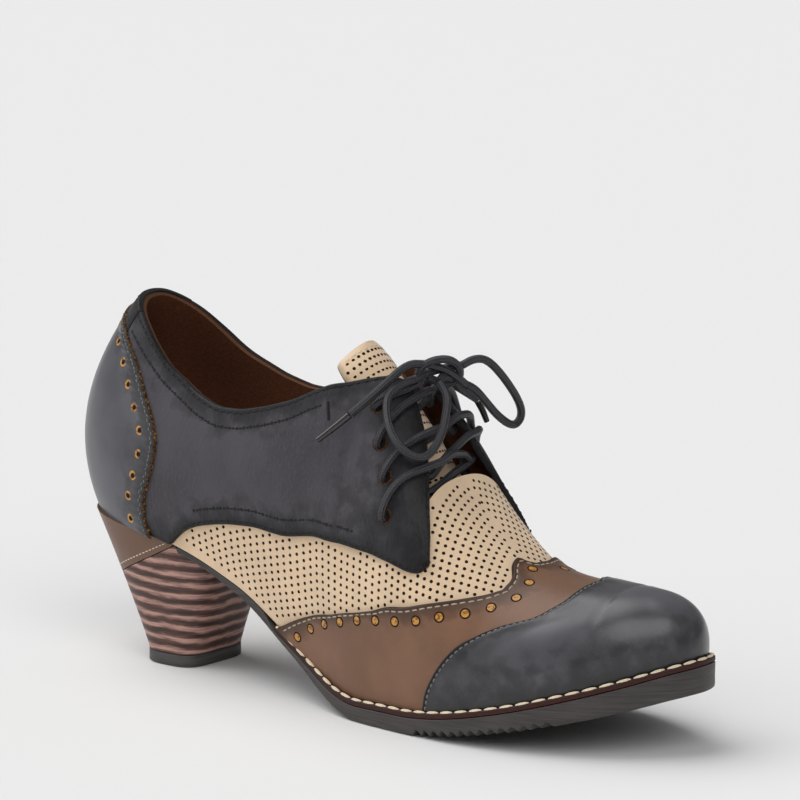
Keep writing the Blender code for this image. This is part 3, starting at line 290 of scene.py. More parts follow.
def feather_knots():
    """The closed feather line from above as points, their distances along it and its slopes there."""
    points = [(0.0, 0.0)]
    points += [(a * LAST_LENGTH, -lateral * BALL_WIDTH) for a, lateral, medial in FEATHER_LINE]
    points.append((LAST_LENGTH, TOE_TIP_SIDE * BALL_WIDTH))
    points += [(a * LAST_LENGTH, medial * BALL_WIDTH) for a, lateral, medial in FEATHER_LINE[::-1]]
    points = np.array(points)
    ahead = np.roll(points, -1, axis=0) - points
    after = np.linalg.norm(ahead, axis=1)
    before = np.roll(after, 1)
    back = np.roll(ahead, 1, axis=0)
    slopes = (back / before[:, None] * after[:, None] + ahead / after[:, None] * before[:, None])
    slopes /= (before + after)[:, None]
    return points, np.concatenate(([0.0], np.cumsum(after))), slopes


FEATHER_POINTS, FEATHER_AT, FEATHER_SLOPES = feather_knots()
LOOP = 600
LOOP_STEP = FEATHER_AT[-1] / LOOP


def foot(g):
    """The feather point at place g of the loop, which counts LOOP steps from the heel's back."""
    d = np.mod(g, LOOP) * LOOP_STEP
    i = np.clip(np.searchsorted(FEATHER_AT, d, side="right") - 1, 0, len(FEATHER_POINTS) - 1)
    j = (i + 1) % len(FEATHER_POINTS)
    step = FEATHER_AT[i + 1] - FEATHER_AT[i]
    t = ((d - FEATHER_AT[i]) / step)[..., None]
    step = step[..., None]
    return ((1 + 2 * t) * (1 - t) ** 2 * FEATHER_POINTS[i] + t * (1 - t) ** 2 * step * FEATHER_SLOPES[i]
            + t * t * (3 - 2 * t) * FEATHER_POINTS[j] - t * t * (1 - t) * step * FEATHER_SLOPES[j])


ROUND = np.linspace(0.0, LOOP, 24001)
ROUND_X = foot(ROUND)[:, 0]
TIP = int(np.argmax(ROUND_X))


def place(along, lateral=True):
    """The place on the loop whose feather point lies this share of the length along."""
    x = np.asarray(along) * LAST_LENGTH
    if lateral:
        return np.interp(x, np.maximum.accumulate(ROUND_X[:TIP + 1]), ROUND[:TIP + 1])
    return np.interp(x, np.maximum.accumulate(ROUND_X[TIP:][::-1]), ROUND[TIP:][::-1])


def along_of(g):
    return foot(np.asarray(g, float))[..., 0] / LAST_LENGTH


def on_last(g, v):
    """Points of the last: g round the feather line, v from it (0) up to the ridge (1)."""
    g, v = np.broadcast_arrays(np.asarray(g, float), np.asarray(v, float))
    at = foot(g)
    along = at[..., 0] / LAST_LENGTH
    axis = np.clip(along, HEEL_AXIS, TOE_AXIS)
    axis_x, axis_y = axis * LAST_LENGTH, centre(axis) * BALL_WIDTH
    low = feather(along)
    height = feather(axis) + rise(axis) * INSTEP_HEIGHT - low
    b0, b1, b2, b3 = (1 - v) ** 3, 3 * v * (1 - v) ** 2, 3 * v * v * (1 - v), v ** 3
    out = b0 + b1 * (1 + swell(along)) + b2 * shoulder(along)
    up = b1 * side(along) + b2 * crown(along) + b3
    return np.stack((axis_x + (at[..., 0] - axis_x) * out, axis_y + (at[..., 1] - axis_y) * out,
                     low + height * up), axis=-1)


def unit(vectors):
    return vectors / np.maximum(np.linalg.norm(vectors, axis=-1, keepdims=True), 1e-12)


def out_of_last(g, v):
    """The way out of the last at the same places."""
    g, v = np.broadcast_arrays(np.asarray(g, float), np.asarray(v, float))
    at = np.clip(v, 0.001, 0.97)
    ahead = on_last(g + 0.5, at) - on_last(g - 0.5, at)
    higher = on_last(g, at + 0.001) - on_last(g, at - 0.001)
    normal = unit(np.cross(ahead, higher))
    axis = np.clip(along_of(g), HEEL_AXIS, TOE_AXIS)
    step = 0.004
    fall = (feather(axis + step) + rise(axis + step) * INSTEP_HEIGHT
            - feather(axis - step) - rise(axis - step) * INSTEP_HEIGHT)
    fall = np.where(axis >= TOE_AXIS, 0.0, fall)
    top = unit(np.stack((-fall, np.zeros_like(fall), np.full_like(fall, 2 * step * LAST_LENGTH)), axis=-1))
    share = np.clip((v - 0.97) / 0.03, 0.0, 1.0)[..., None]
    return unit(normal * (1 - share) + top * share)


def creases(g, v):
    """How far the worn leather is pushed out at these places."""
    along, girth = along_of(g), np.asarray(v, float)
    lateral = np.mod(g, LOOP) < ROUND[TIP]
    push = np.zeros(np.broadcast(along, girth).shape)
    amount = bpy.context.scene.shoe_forms.crease
    for at, high, which, turn, half_length, half_width, depth in CREASES:
        dx = (along - at) * LAST_LENGTH
        dy = (girth - high) * INSTEP_HEIGHT
        c, s = math.cos(math.radians(turn)), math.sin(math.radians(turn))
        run, across = dx * c + dy * s, -dx * s + dy * c
        dent = depth * np.exp(-(run / half_length) ** 2 - (across / half_width) ** 2)
        push -= np.where(lateral == (which < 0), dent, 0.0) * amount
    return push * (1 - smooth_step(0.80, 0.97, girth)) * (1 - smooth_step(0.64, 0.70, along))


def leather_surface(g, v, height):
    """Points at a height over the last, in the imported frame."""
    g, v = np.broadcast_arrays(np.asarray(g, float), np.asarray(v, float))
    out = np.asarray(height) + creases(g, v)
    return on_last(g, v) + out_of_last(g, v) * out[..., None] + SHIFT


def smooth_step(low, high, x):
    t = np.clip((x - low) / (high - low), 0.0, 1.0)
    return t * t * (3 - 2 * t)


def spread(length, pitch, near=(0.00025, 0.0006, 0.0011)):
    """Shares from 0 to 1 about a pitch apart, with finer ones next to both ends."""
    near = np.array(near) / length
    inner = np.linspace(near[-1], 1 - near[-1], max(3, int(length / pitch)))
    return np.concatenate(([0.0], near[:-1], inner, 1 - near[-2::-1], [1.0]))


def distances(points):
    """How far each point of a line lies along it."""
    return np.concatenate(([0.0], np.cumsum(np.linalg.norm(np.diff(points, axis=0), axis=1))))


def edge_distances(points):
    """For a grid of points, how far each lies from the grid's four sides."""
    along_i = np.linalg.norm(np.diff(points, axis=0), axis=-1)
    along_j = np.linalg.norm(np.diff(points, axis=1), axis=-1)
    start = np.concatenate((np.zeros((1, points.shape[1])), np.cumsum(along_i, axis=0)))
    low = np.concatenate((np.zeros((points.shape[0], 1)), np.cumsum(along_j, axis=1)), axis=1)
    return {"start": start, "end": start[-1:] - start, "low": low, "high": low[:, -1:] - low}


class Panel:
    """A leather laid on the last: a grid of places with the heights of its top and its underside."""

    def __init__(self, g, v, wall, free, base=0.00002, radius=0.0009, steep=0.0):
        self.g, self.v = np.broadcast_arrays(np.asarray(g, float), np.asarray(v, float))
        self.far = edge_distances(on_last(self.g, self.v))
        self.edge = np.min([self.far[name] for name in free], axis=0)
        share = np.clip(self.edge / radius, 0.0, 1.0)
        roll = steep + (1 - steep) * np.sqrt(np.clip(1 - (1 - share) ** 2, 0.0, 1.0))
        self.top = base + (wall - base) * roll
        self.under = np.full_like(self.top, base)

    def groove(self, name, inside, depth=0.00016, half_width=0.0007):
        """Presses the leather in along a row of stitches."""
        self.top = self.top - depth * np.exp(-((self.far[name] - inside) / half_width) ** 2)

    def line(self, name, inside):
        """Places g, v and height of the line that runs this far inside one side."""
        far = self.far[name]
        if name in ("start", "end"):
            far, g, v, top = far.T, self.g.T, self.v.T, self.top.T
        else:
            g, v, top = self.g, self.v, self.top
        found = []
        for row, row_g, row_v, row_top in zip(far, g, v, top):
            order = np.argsort(row)
            found.append([np.interp(inside, row[order], values[order]) for values in (row_g, row_v, row_top)])
        return np.array(found).T

    def faces_between(self):
        return leather_surface(self.g, self.v, self.top), leather_surface(self.g, self.v, self.under)


def shell(name, top, under, materials, keep=None, wrap=False, rim=0, inner=0, edge_far=None, raw=None,
          joined=False):
    """A closed object between two grids of points, with its free edges closed by a strip.

    joined leaves out the strip along the grid's last column, where both sides of the foot meet.
    """
    m, n = top.shape[:2]
    rows = m if wrap else m - 1
    if keep is None:
        keep = np.ones((rows, n - 1), bool)
    index = np.arange(m * n).reshape(m, n)
    i, j = np.nonzero(keep)
    k = (i + 1) % m
    quads = np.stack((index[i, j], index[k, j], index[k, j + 1], index[i, j + 1]), axis=1)
    count = m * n
    edges = np.concatenate([quads[:, [a, (a + 1) % 4]] for a in range(4)])
    keys = np.minimum(edges[:, 0], edges[:, 1]) * count + np.maximum(edges[:, 0], edges[:, 1])
    _, first, uses = np.unique(keys, return_index=True, return_counts=True)
    free = edges[first[uses == 1]]
    if joined:
        free = free[~((free[:, 0] % n == n - 1) & (free[:, 1] % n == n - 1))]
    strips = np.stack((free[:, 1], free[:, 0], free[:, 0] + count, free[:, 1] + count), axis=1)
    faces = np.concatenate((quads, quads[:, ::-1] + count, strips))
    slots = np.concatenate((np.zeros(len(quads), int), np.full(len(quads), inner), np.full(len(strips), rim)))
    if raw is not None:
        at_edge = edge_far[i, j] < raw
        slots[:len(quads)][at_edge] = rim
    mesh = bpy.data.meshes.new(name)
    vertices = np.concatenate((top.reshape(-1, 3), under.reshape(-1, 3)))
    mesh.from_pydata(vertices.tolist(), [], faces.tolist())
    mesh.polygons.foreach_set("material_index", slots.astype(np.int32))
    far = mesh.attributes.new("edge_far", "FLOAT", "POINT")
    values = np.zeros(count) if edge_far is None else edge_far.reshape(-1)
    far.data.foreach_set("value", np.concatenate((values, values)).astype(np.float32))
    bm = bmesh.new()
    bm.from_mesh(mesh)
    bmesh.ops.remove_doubles(bm, verts=bm.verts, dist=2e-6)
    bmesh.ops.dissolve_degenerate(bm, edges=bm.edges, dist=1e-7)
    bmesh.ops.delete(bm, geom=[vert for vert in bm.verts if not vert.link_faces], context="VERTS")
    bmesh.ops.recalc_face_normals(bm, faces=bm.faces)
    bm.to_mesh(mesh)
    bm.free()
    return dressed(name, mesh, materials)


def dressed(name, mesh, materials, sharp=50):
    """An object for one piece, smooth except at its sharp edges, riding on the shoe."""
    for material in materials:
        mesh.materials.append(material)
    mesh.shade_smooth()
    mesh.set_sharp_from_angle(angle=math.radians(sharp))
    obj = bpy.data.objects.new(name, mesh)
    bpy.context.scene.collection.objects.link(obj)
    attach(obj, "root")
    return obj


def panel_object(name, panel, materials, **more):
    top, under = panel.faces_between()
    return shell(name, top, under, materials, edge_far=panel.edge, **more)


def many(name, pattern, faces, frames, materials, face_slots=None):
    """One joined mesh of many small copies of a pattern, each placed by its own frame.

    frames is centres, and three axes along which the pattern's x, y and z are measured.
    """
    centres, xs, ys, zs = frames
    pattern = np.asarray(pattern)
    points = (centres[:, None] + pattern[None, :, 0:1] * xs[:, None] + pattern[None, :, 1:2] * ys[:, None]
              + pattern[None, :, 2:3] * zs[:, None])
    step = len(pattern)
    joined = []
    for number in range(len(centres)):
        joined += [[index + number * step for index in face] for face in faces]
    mesh = bpy.data.meshes.new(name)
    mesh.from_pydata(points.reshape(-1, 3).tolist(), [], joined)
    if face_slots is not None:
        mesh.polygons.foreach_set("material_index", np.tile(face_slots, len(centres)).astype(np.int32))
    mesh.update()
    return dressed(name, mesh, materials, sharp=70)


def turned(profile, segments):
    """A closed solid turned about z from a profile of radius and height that starts and ends on the axis."""
    angles = np.linspace(0, 2 * math.pi, segments, endpoint=False)
    points = [(0.0, 0.0, profile[0][1])]
    for radius, height in profile[1:-1]:
        points += [(radius * math.cos(a), radius * math.sin(a), height) for a in angles]
    points.append((0.0, 0.0, profile[-1][1]))
    faces = []
    last = len(points) - 1
    rings = len(profile) - 2
    for i in range(segments):
        j = (i + 1) % segments
        faces.append((0, 1 + i, 1 + j))
        for ring in range(rings - 1):
            a = 1 + ring * segments
            faces.append((a + i, a + segments + i, a + segments + j, a + j))
        a = 1 + (rings - 1) * segments
        faces.append((a + i, last, a + j))
    return points, faces


def surface_frames(g, v, height):
    """Frames on the leather at these places: centre, the way forward, the way up and the way out."""
    out = out_of_last(g, v)
    forward = unit(on_last(g + 0.4, v) - on_last(g - 0.4, v))
    up = np.cross(out, forward)
    return leather_surface(g, v, height), forward, up, out


THREAD_SIDES = 6
THREAD_RINGS = ((-1.0, 0.35), (-0.82, 0.85), (-0.35, 1.0), (0.35, 1.0), (0.82, 0.85), (1.0, 0.35))


def stitch_row(name, points, outs, pitch, length, radius, material, sink=0.45, start=0.5, lean=0.0,
               needle=0.0):
    """Stitches laid end to end along a line on the leather, as one joined mesh."""
    far = distances(points)
    at = np.arange(pitch * start, far[-1] - pitch * 0.3, pitch)
    where = np.stack([np.interp(at, far, points[:, k]) for k in range(3)], axis=1)
    ahead = np.stack([np.interp(at + length / 2, far, points[:, k]) for k in range(3)], axis=1)
    behind = np.stack([np.interp(at - length / 2, far, points[:, k]) for k in range(3)], axis=1)
    out = unit(np.stack([np.interp(at, far, outs[:, k]) for k in range(3)], axis=1))
    forward = unit(ahead - behind)
    across = unit(np.cross(out, forward))
    if lean:
        forward = unit(forward + across * lean)
        across = unit(np.cross(out, forward))
    pattern = []
    for s, size in THREAD_RINGS:
        for k in range(THREAD_SIDES):
            angle = 2 * math.pi * k / THREAD_SIDES
            dip = -sink * s * s * s * s * 1.6
            pattern.append((s * length / 2, radius * size * math.cos(angle),
                            radius * (size * math.sin(angle) * 0.8 + dip)))
    faces = [tuple(range(THREAD_SIDES))[::-1]]
    for ring in range(len(THREAD_RINGS) - 1):
        a, b = ring * THREAD_SIDES, (ring + 1) * THREAD_SIDES
        faces += [(a + k, a + (k + 1) % THREAD_SIDES, b + (k + 1) % THREAD_SIDES, b + k)
                  for k in range(THREAD_SIDES)]
    faces.append(tuple(range(b, b + THREAD_SIDES)))
    obj = many(name, pattern, faces, (where + out * radius * 0.25, forward, across, out), [material])
    if needle:
        at_holes = where - forward * pitch / 2
        holes, hole_faces = hole_pattern(needle)
        plugs = many(name + "_needle_holes", holes, hole_faces, (at_holes, forward, across, out), [material])
    return obj


def row_on_panel(name, panel, side_name, inside, pitch, length, radius, material, first=0.0, last=1.0, **more):
    """A row of stitches inside one side of a panel, between two shares of that side."""
    g, v, height = panel.line(side_name, inside)
    n = len(g)
    chosen = slice(int(first * (n - 1)), int(last * (n - 1)) + 1)
    g, v, height = g[chosen], v[chosen], height[chosen]
    points = leather_surface(g, v, height)
    return stitch_row(name, points, out_of_last(g, v), pitch, length, radius, material, **more)


def swept(path, radius, sides=12):
    """Rings of points round a path, with places along and round it for the braid."""
    path = np.asarray(path, float)
    tangents = unit(np.gradient(path, axis=0))
    radius = np.broadcast_to(radius, len(path))
    side_way = unit(np.cross(tangents[0], (0.3, 0.2, 1.0)))
    rings = []
    for point, tangent, size in zip(path, tangents, radius):
        side_way = side_way - tangent * side_way.dot(tangent)
        side_way = side_way / np.linalg.norm(side_way)
        other = np.cross(tangent, side_way)
        angles = np.linspace(0, 2 * math.pi, sides, endpoint=False)
        round_point = np.cos(angles)[:, None] * side_way + np.sin(angles)[:, None] * other
        rings.append(point + size * round_point)
    far = distances(path)
    return np.array(rings), far


def tube_object(name, paths, radii, material, sides=12):
    """One object of closed tubes along paths, with a UV map in turns and lengths."""
    vertices, faces, uvs = [], [], []
    for path, radius in zip(paths, radii):
        rings, far = swept(path, radius, sides)
        start = sum(len(block) for block in vertices)
        vertices.append(rings.reshape(-1, 3))
        for ring in range(len(rings) - 1):
            for k in range(sides):
                a, b = start + ring * sides, start + (ring + 1) * sides
                j = (k + 1) % sides
                faces.append((a + k, a + j, b + j, b + k))
                uvs += [(k / sides, far[ring]), ((k + 1) / sides, far[ring]),
                        ((k + 1) / sides, far[ring + 1]), (k / sides, far[ring + 1])]
        for ring, flip in ((0, True), (len(rings) - 1, False)):
            cap = [start + ring * sides + k for k in range(sides)]
            faces.append(tuple(cap[::-1]) if flip else tuple(cap))
            uvs += [(0.5, far[ring])] * sides
    mesh = bpy.data.meshes.new(name)
    mesh.from_pydata(np.concatenate(vertices).tolist(), [], faces)
    layer = mesh.uv_layers.new(name="UVMap")
    coordinates = np.array(uvs, np.float32)
    coordinates[:, 1] /= LACE
    layer.data.foreach_set("uv", coordinates.reshape(-1))
    mesh.update()
    return dressed(name, mesh, [material], sharp=60)


class Wiring:
    """Adds nodes to a tree and joins them."""

    def __init__(self, tree):
        self.tree = tree
        self.count = 0

    def node(self, kind, values=None, **settings):
        node = self.tree.nodes.new(kind)
        node.location = (180 * (self.count % 8) - 1200, -220 * (self.count // 8))
        self.count += 1
        for key, value in settings.items():
            setattr(node, key, value)
        for key, value in (values or {}).items():
            self.put(node.inputs[key], value)
        return node

    def put(self, socket, value):
        if isinstance(value, bpy.types.NodeSocket):
            self.tree.links.new(value, socket)
        elif socket.type == "RGBA" and len(value) == 3:
            socket.default_value = (*value, 1.0)
        else:
            socket.default_value = value

    def math(self, operation, *values, clamp=False):
        node = self.node("ShaderNodeMath", operation=operation, use_clamp=clamp)
        for socket, value in zip(node.inputs, values):
            self.put(socket, value)
        return node.outputs[0]

    def mix(self, share, a, b):
        node = self.node("ShaderNodeMix", data_type="RGBA")
        self.put(node.inputs[0], share)
        self.put(node.inputs[6], a)
        self.put(node.inputs[7], b)
        return node.outputs[2]

    def between(self, value, low, high, to_low=0.0, to_high=1.0):
        node = self.node("ShaderNodeMapRange", {"Value": value, "From Min": low, "From Max": high,
                                                "To Min": to_low, "To Max": to_high})
        node.interpolation_type = "SMOOTHSTEP"
        return node.outputs[0]


def new_group(name, inputs, outputs):
    tree = bpy.data.node_groups.new(name, "ShaderNodeTree")
    for label, kind, default in inputs:
        socket = tree.interface.new_socket(label, in_out="INPUT", socket_type=kind)
        socket.default_value = default
    for label, kind in outputs:
        tree.interface.new_socket(label, in_out="OUTPUT", socket_type=kind)
    return Wiring(tree)


FLOAT, COLOUR = "NodeSocketFloat", "NodeSocketColor"


def grain_group():
    """Fine pebbled grain with soft pores: a height, and a mask of its paler raised places."""
    w = new_group("Leather grain", [("Scale", FLOAT, 900.0), ("Stretch", FLOAT, 1.0)],
                  [("Height", FLOAT), ("Raised", FLOAT)])
    source, result = w.node("NodeGroupInput"), w.node("NodeGroupOutput")
    place_of = w.node("ShaderNodeTexCoord").outputs["Object"]
    stretch = w.node("ShaderNodeCombineXYZ", {"X": 1.0, "Y": 1.0, "Z": source.outputs["Stretch"]})
    at = w.node("ShaderNodeVectorMath", {0: place_of, 1: stretch.outputs[0]}, operation="MULTIPLY").outputs[0]
    cells = w.node("ShaderNodeTexVoronoi", {"Vector": at, "Scale": source.outputs["Scale"]}, feature="SMOOTH_F1")
    fine = w.node("ShaderNodeTexNoise", {"Vector": at, "Scale": w.math("MULTIPLY", source.outputs["Scale"], 1.9),
                                         "Detail": 3.0, "Roughness": 0.6})
    height = w.math("ADD", w.math("MULTIPLY", cells.outputs["Distance"], -0.9),
                    w.math("MULTIPLY", fine.outputs["Fac"], 0.7))
    w.put(result.inputs["Height"], height)
    w.put(result.inputs["Raised"], w.between(fine.outputs["Fac"], 0.45, 0.7))
    return w.tree


def blotch_group():
    """Broad soft clouds of hand-rubbed polish."""
    w = new_group("Rubbed clouds", [("Scale", FLOAT, 45.0), ("Seed", FLOAT, 0.0)], [("Cloud", FLOAT)])
    source, result = w.node("NodeGroupInput"), w.node("NodeGroupOutput")
    place_of = w.node("ShaderNodeTexCoord").outputs["Object"]
    cloud = w.node("ShaderNodeTexNoise", {"Vector": place_of, "Scale": source.outputs["Scale"], "Detail": 3.0,
                                          "W": source.outputs["Seed"]}, noise_dimensions="4D")
    w.put(result.inputs["Cloud"], w.between(cloud.outputs["Fac"], 0.32, 0.68))
    return w.tree


def edge_group():
    """A mask of the leather next to its cut edges, from how far each point lies from them."""
    w = new_group("Near the edge", [("Reach", FLOAT, 0.004)], [("Mask", FLOAT)])
    source, result = w.node("NodeGroupInput"), w.node("NodeGroupOutput")
    far = w.node("ShaderNodeAttribute", attribute_name="edge_far").outputs["Fac"]
    place_of = w.node("ShaderNodeTexCoord").outputs["Object"]
    noise = w.node("ShaderNodeTexNoise", {"Vector": place_of, "Scale": 160.0, "Detail": 3.0}).outputs["Fac"]
    reach = w.math("MULTIPLY", source.outputs["Reach"], w.between(noise, 0.3, 0.7, 0.55, 1.4))
    w.put(result.inputs["Mask"], w.math("SUBTRACT", 1.0, w.math("DIVIDE", far, reach), clamp=True))
    return w.tree


def streak_group():
    """Fine streaks that run level round a sole or a heel."""
    w = new_group("Level streaks", [("Scale", FLOAT, 60.0), ("Fineness", FLOAT, 22.0)], [("Streak", FLOAT)])
    source, result = w.node("NodeGroupInput"), w.node("NodeGroupOutput")
    place_of = w.node("ShaderNodeTexCoord").outputs["Object"]
    squash = w.node("ShaderNodeCombineXYZ", {"X": 1.0, "Y": 1.0, "Z": source.outputs["Fineness"]})
    at = w.node("ShaderNodeVectorMath", {0: place_of, 1: squash.outputs[0]}, operation="MULTIPLY").outputs[0]
    noise = w.node("ShaderNodeTexNoise", {"Vector": at, "Scale": source.outputs["Scale"], "Detail": 4.0})
    w.put(result.inputs["Streak"], noise.outputs["Fac"])
    return w.tree


GROUPS = {}


def shared(name):
    makers = {"grain": grain_group, "cloud": blotch_group, "edge": edge_group, "streak": streak_group}
    if name not in GROUPS:
        GROUPS[name] = makers[name]()
    return GROUPS[name]


def new_material(name):
    material = bpy.data.materials.new(name)
    material.use_nodes = True
    material.node_tree.nodes.clear()
    w = Wiring(material.node_tree)
    output = w.node("ShaderNodeOutputMaterial")
    shader = w.node("ShaderNodeBsdfPrincipled")
    w.put(output.inputs["Surface"], shader.outputs[0])
    return material, w, shader


def bumped(w, shader, height, strength, distance):
    bump = w.node("ShaderNodeBump", {"Height": height, "Strength": strength, "Distance": distance})
    w.put(shader.inputs["Normal"], bump.outputs[0])


def group_node(w, name, values=None):
    node = w.node("ShaderNodeGroup", node_tree=shared(name))
    for key, value in (values or {}).items():
        w.put(node.inputs[key], value)
    return node


def leather(name, base, deep, light, roughness, coat, grain, relief, reach=0.004, cloud=45.0, stretch=1.0,
            seed=0.0, shine=0.5):
    """A dyed leather: clouds between two shades, a deeper shade at cut edges, and grain."""
    material, w, shader = new_material(name)
    pebble = group_node(w, "grain", {"Scale": grain, "Stretch": stretch})
    clouds = group_node(w, "cloud", {"Scale": cloud, "Seed": seed})
    near = group_node(w, "edge", {"Reach": reach})
    colour = w.mix(clouds.outputs["Cloud"], base, light)
    colour = w.mix(w.math("MULTIPLY", pebble.outputs["Raised"], 0.55), colour, light)
    colour = w.mix(w.math("MULTIPLY", near.outputs["Mask"], 0.95), colour, deep)
    w.put(shader.inputs["Base Color"], colour)
    rough = w.between(clouds.outputs["Cloud"], 0.0, 1.0, roughness * 0.88, roughness * 1.12)
    w.put(shader.inputs["Roughness"], rough)
    shader.inputs["Specular IOR Level"].default_value = shine
    shader.inputs["Coat Weight"].default_value = coat
    shader.inputs["Coat Roughness"].default_value = 0.22
    bumped(w, shader, pebble.outputs["Height"], 0.6, relief)
    return material


def nubuck(name, base, deep, light):
    """A napped leather: brushed fibres, soft clouds and a faint sheen."""
    material, w, shader = new_material(name)
    nap = group_node(w, "grain", {"Scale": 2600.0})
    clouds = group_node(w, "cloud", {"Scale": 70.0, "Seed": 3.0})
    near = group_node(w, "edge", {"Reach": 0.0012})
    colour = w.mix(clouds.outputs["Cloud"], base, light)
    colour = w.mix(w.math("MULTIPLY", nap.outputs["Raised"], 0.30), colour, deep)
    colour = w.mix(near.outputs["Mask"], colour, deep)
    w.put(shader.inputs["Base Color"], colour)
    shader.inputs["Roughness"].default_value = 0.88
    shader.inputs["Sheen Weight"].default_value = 0.25
    shader.inputs["Sheen Roughness"].default_value = 0.6
    bumped(w, shader, nap.outputs["Height"], 0.5, 0.00006)
    return material


def plain_fibre(name, base, other, roughness, scale=2200.0, relief=0.00006):
    """Thread, raw leather edges, rubber: fine mottled fibre of two near shades."""
    material, w, shader = new_material(name)
    fibre = group_node(w, "grain", {"Scale": scale})
    w.put(shader.inputs["Base Color"], w.mix(fibre.outputs["Raised"], base, other))
    shader.inputs["Roughness"].default_value = roughness
    shader.inputs["Specular IOR Level"].default_value = 0.25
    bumped(w, shader, fibre.outputs["Height"], 0.6, relief)
    return material


def sole_material(name, base, light):
    material, w, shader = new_material(name)
    streaks = group_node(w, "streak", {"Scale": 55.0, "Fineness": 26.0})
    clouds = group_node(w, "cloud", {"Scale": 90.0, "Seed": 7.0})
    mask = w.between(streaks.outputs["Streak"], 0.38, 0.66)
    colour = w.mix(mask, base, light)
    colour = w.mix(w.math("MULTIPLY", clouds.outputs["Cloud"], 0.4), colour, base)
    w.put(shader.inputs["Base Color"], colour)
    w.put(shader.inputs["Roughness"], w.between(mask, 0.0, 1.0, 0.46, 0.62))
    bumped(w, shader, streaks.outputs["Streak"], 0.5, 0.00015)
    return material


LAYER_PITCH = 0.0043


def layers_material(name, dark, middle, pale):
    """Waxed stacked layers: wavy bands that dip towards the front corners, with fine fibres."""
    material, w, shader = new_material(name)
    place_of = w.node("ShaderNodeTexCoord").outputs["Object"]
    parts = w.node("ShaderNodeSeparateXYZ", {"Vector": place_of})
    wander = w.node("ShaderNodeTexNoise", {"Vector": place_of, "Scale": 34.0, "Detail": 2.0}).outputs["Fac"]
    ripple = w.node("ShaderNodeTexNoise", {"Vector": place_of, "Scale": 260.0, "Detail": 3.0}).outputs["Fac"]
    height = w.math("ADD", parts.outputs["Z"], w.math("MULTIPLY", wander, 0.0058))
    height = w.math("ADD", height, w.math("MULTIPLY", ripple, 0.0009))
    turn = w.math("MULTIPLY", height, 2 * math.pi / LAYER_PITCH)
    wave = w.math("MULTIPLY_ADD", w.math("SINE", turn), 0.5, 0.5)
    streaks = group_node(w, "streak", {"Scale": 120.0, "Fineness": 14.0})
    fleck = w.between(streaks.outputs["Streak"], 0.35, 0.65)
    shade = w.math("MULTIPLY_ADD", fleck, 0.35, w.math("MULTIPLY", wave, 0.72), clamp=True)
    ramp = w.node("ShaderNodeValToRGB", {"Fac": shade})
    ramp.color_ramp.elements[0].color = (*dark, 1.0)
    ramp.color_ramp.elements[0].position = 0.08
    ramp.color_ramp.elements[1].color = (*pale, 1.0)
    ramp.color_ramp.elements[1].position = 0.92
    step = ramp.color_ramp.elements.new(0.5)
    step.color = (*middle, 1.0)
    w.put(shader.inputs["Base Color"], ramp.outputs["Color"])
    w.put(shader.inputs["Roughness"], w.between(fleck, 0.0, 1.0, 0.42, 0.58))
    bumped(w, shader, w.math("MULTIPLY_ADD", wave, 0.6, fleck), 0.5, 0.00014)
    return material


def braid_material(name, base, light):
    """A round waxed braid: crossing strands that run both ways round the lace."""
    material, w, shader = new_material(name)
    place_of = w.node("ShaderNodeTexCoord").outputs["UV"]
    parts = w.node("ShaderNodeSeparateXYZ", {"Vector": place_of})
    turns = w.math("MULTIPLY", parts.outputs["X"], 2 * math.pi * 4)
    run = w.math("MULTIPLY", parts.outputs["Y"], 2 * math.pi * 2.2)
    one = w.math("SINE", w.math("ADD", turns, run))
    two = w.math("SINE", w.math("SUBTRACT", turns, run))
    weave = w.math("MULTIPLY", one, two)
    mask = w.between(weave, -0.2, 0.8)
    colour = w.mix(mask, base, light)
    w.put(shader.inputs["Base Color"], colour)
    shader.inputs["Roughness"].default_value = 0.42
    bumped(w, shader, weave, 0.7, 0.00022)
    return material


def brogue_material(name):
    """The raw ochre leather in a punched hole, with dark specks of polish."""
    material, w, shader = new_material(name)
    place_of = w.node("ShaderNodeTexCoord").outputs["Object"]
    speck = w.node("ShaderNodeTexNoise", {"Vector": place_of, "Scale": 900.0, "Detail": 2.0}).outputs["Fac"]
    colour = w.mix(w.between(speck, 0.34, 0.56), (0.17, 0.065, 0.012), (0.58, 0.27, 0.04))
    w.put(shader.inputs["Base Color"], colour)
    shader.inputs["Roughness"].default_value = 0.38
    bumped(w, shader, speck, 0.6, 0.0002)
    return material


MATERIALS = {}


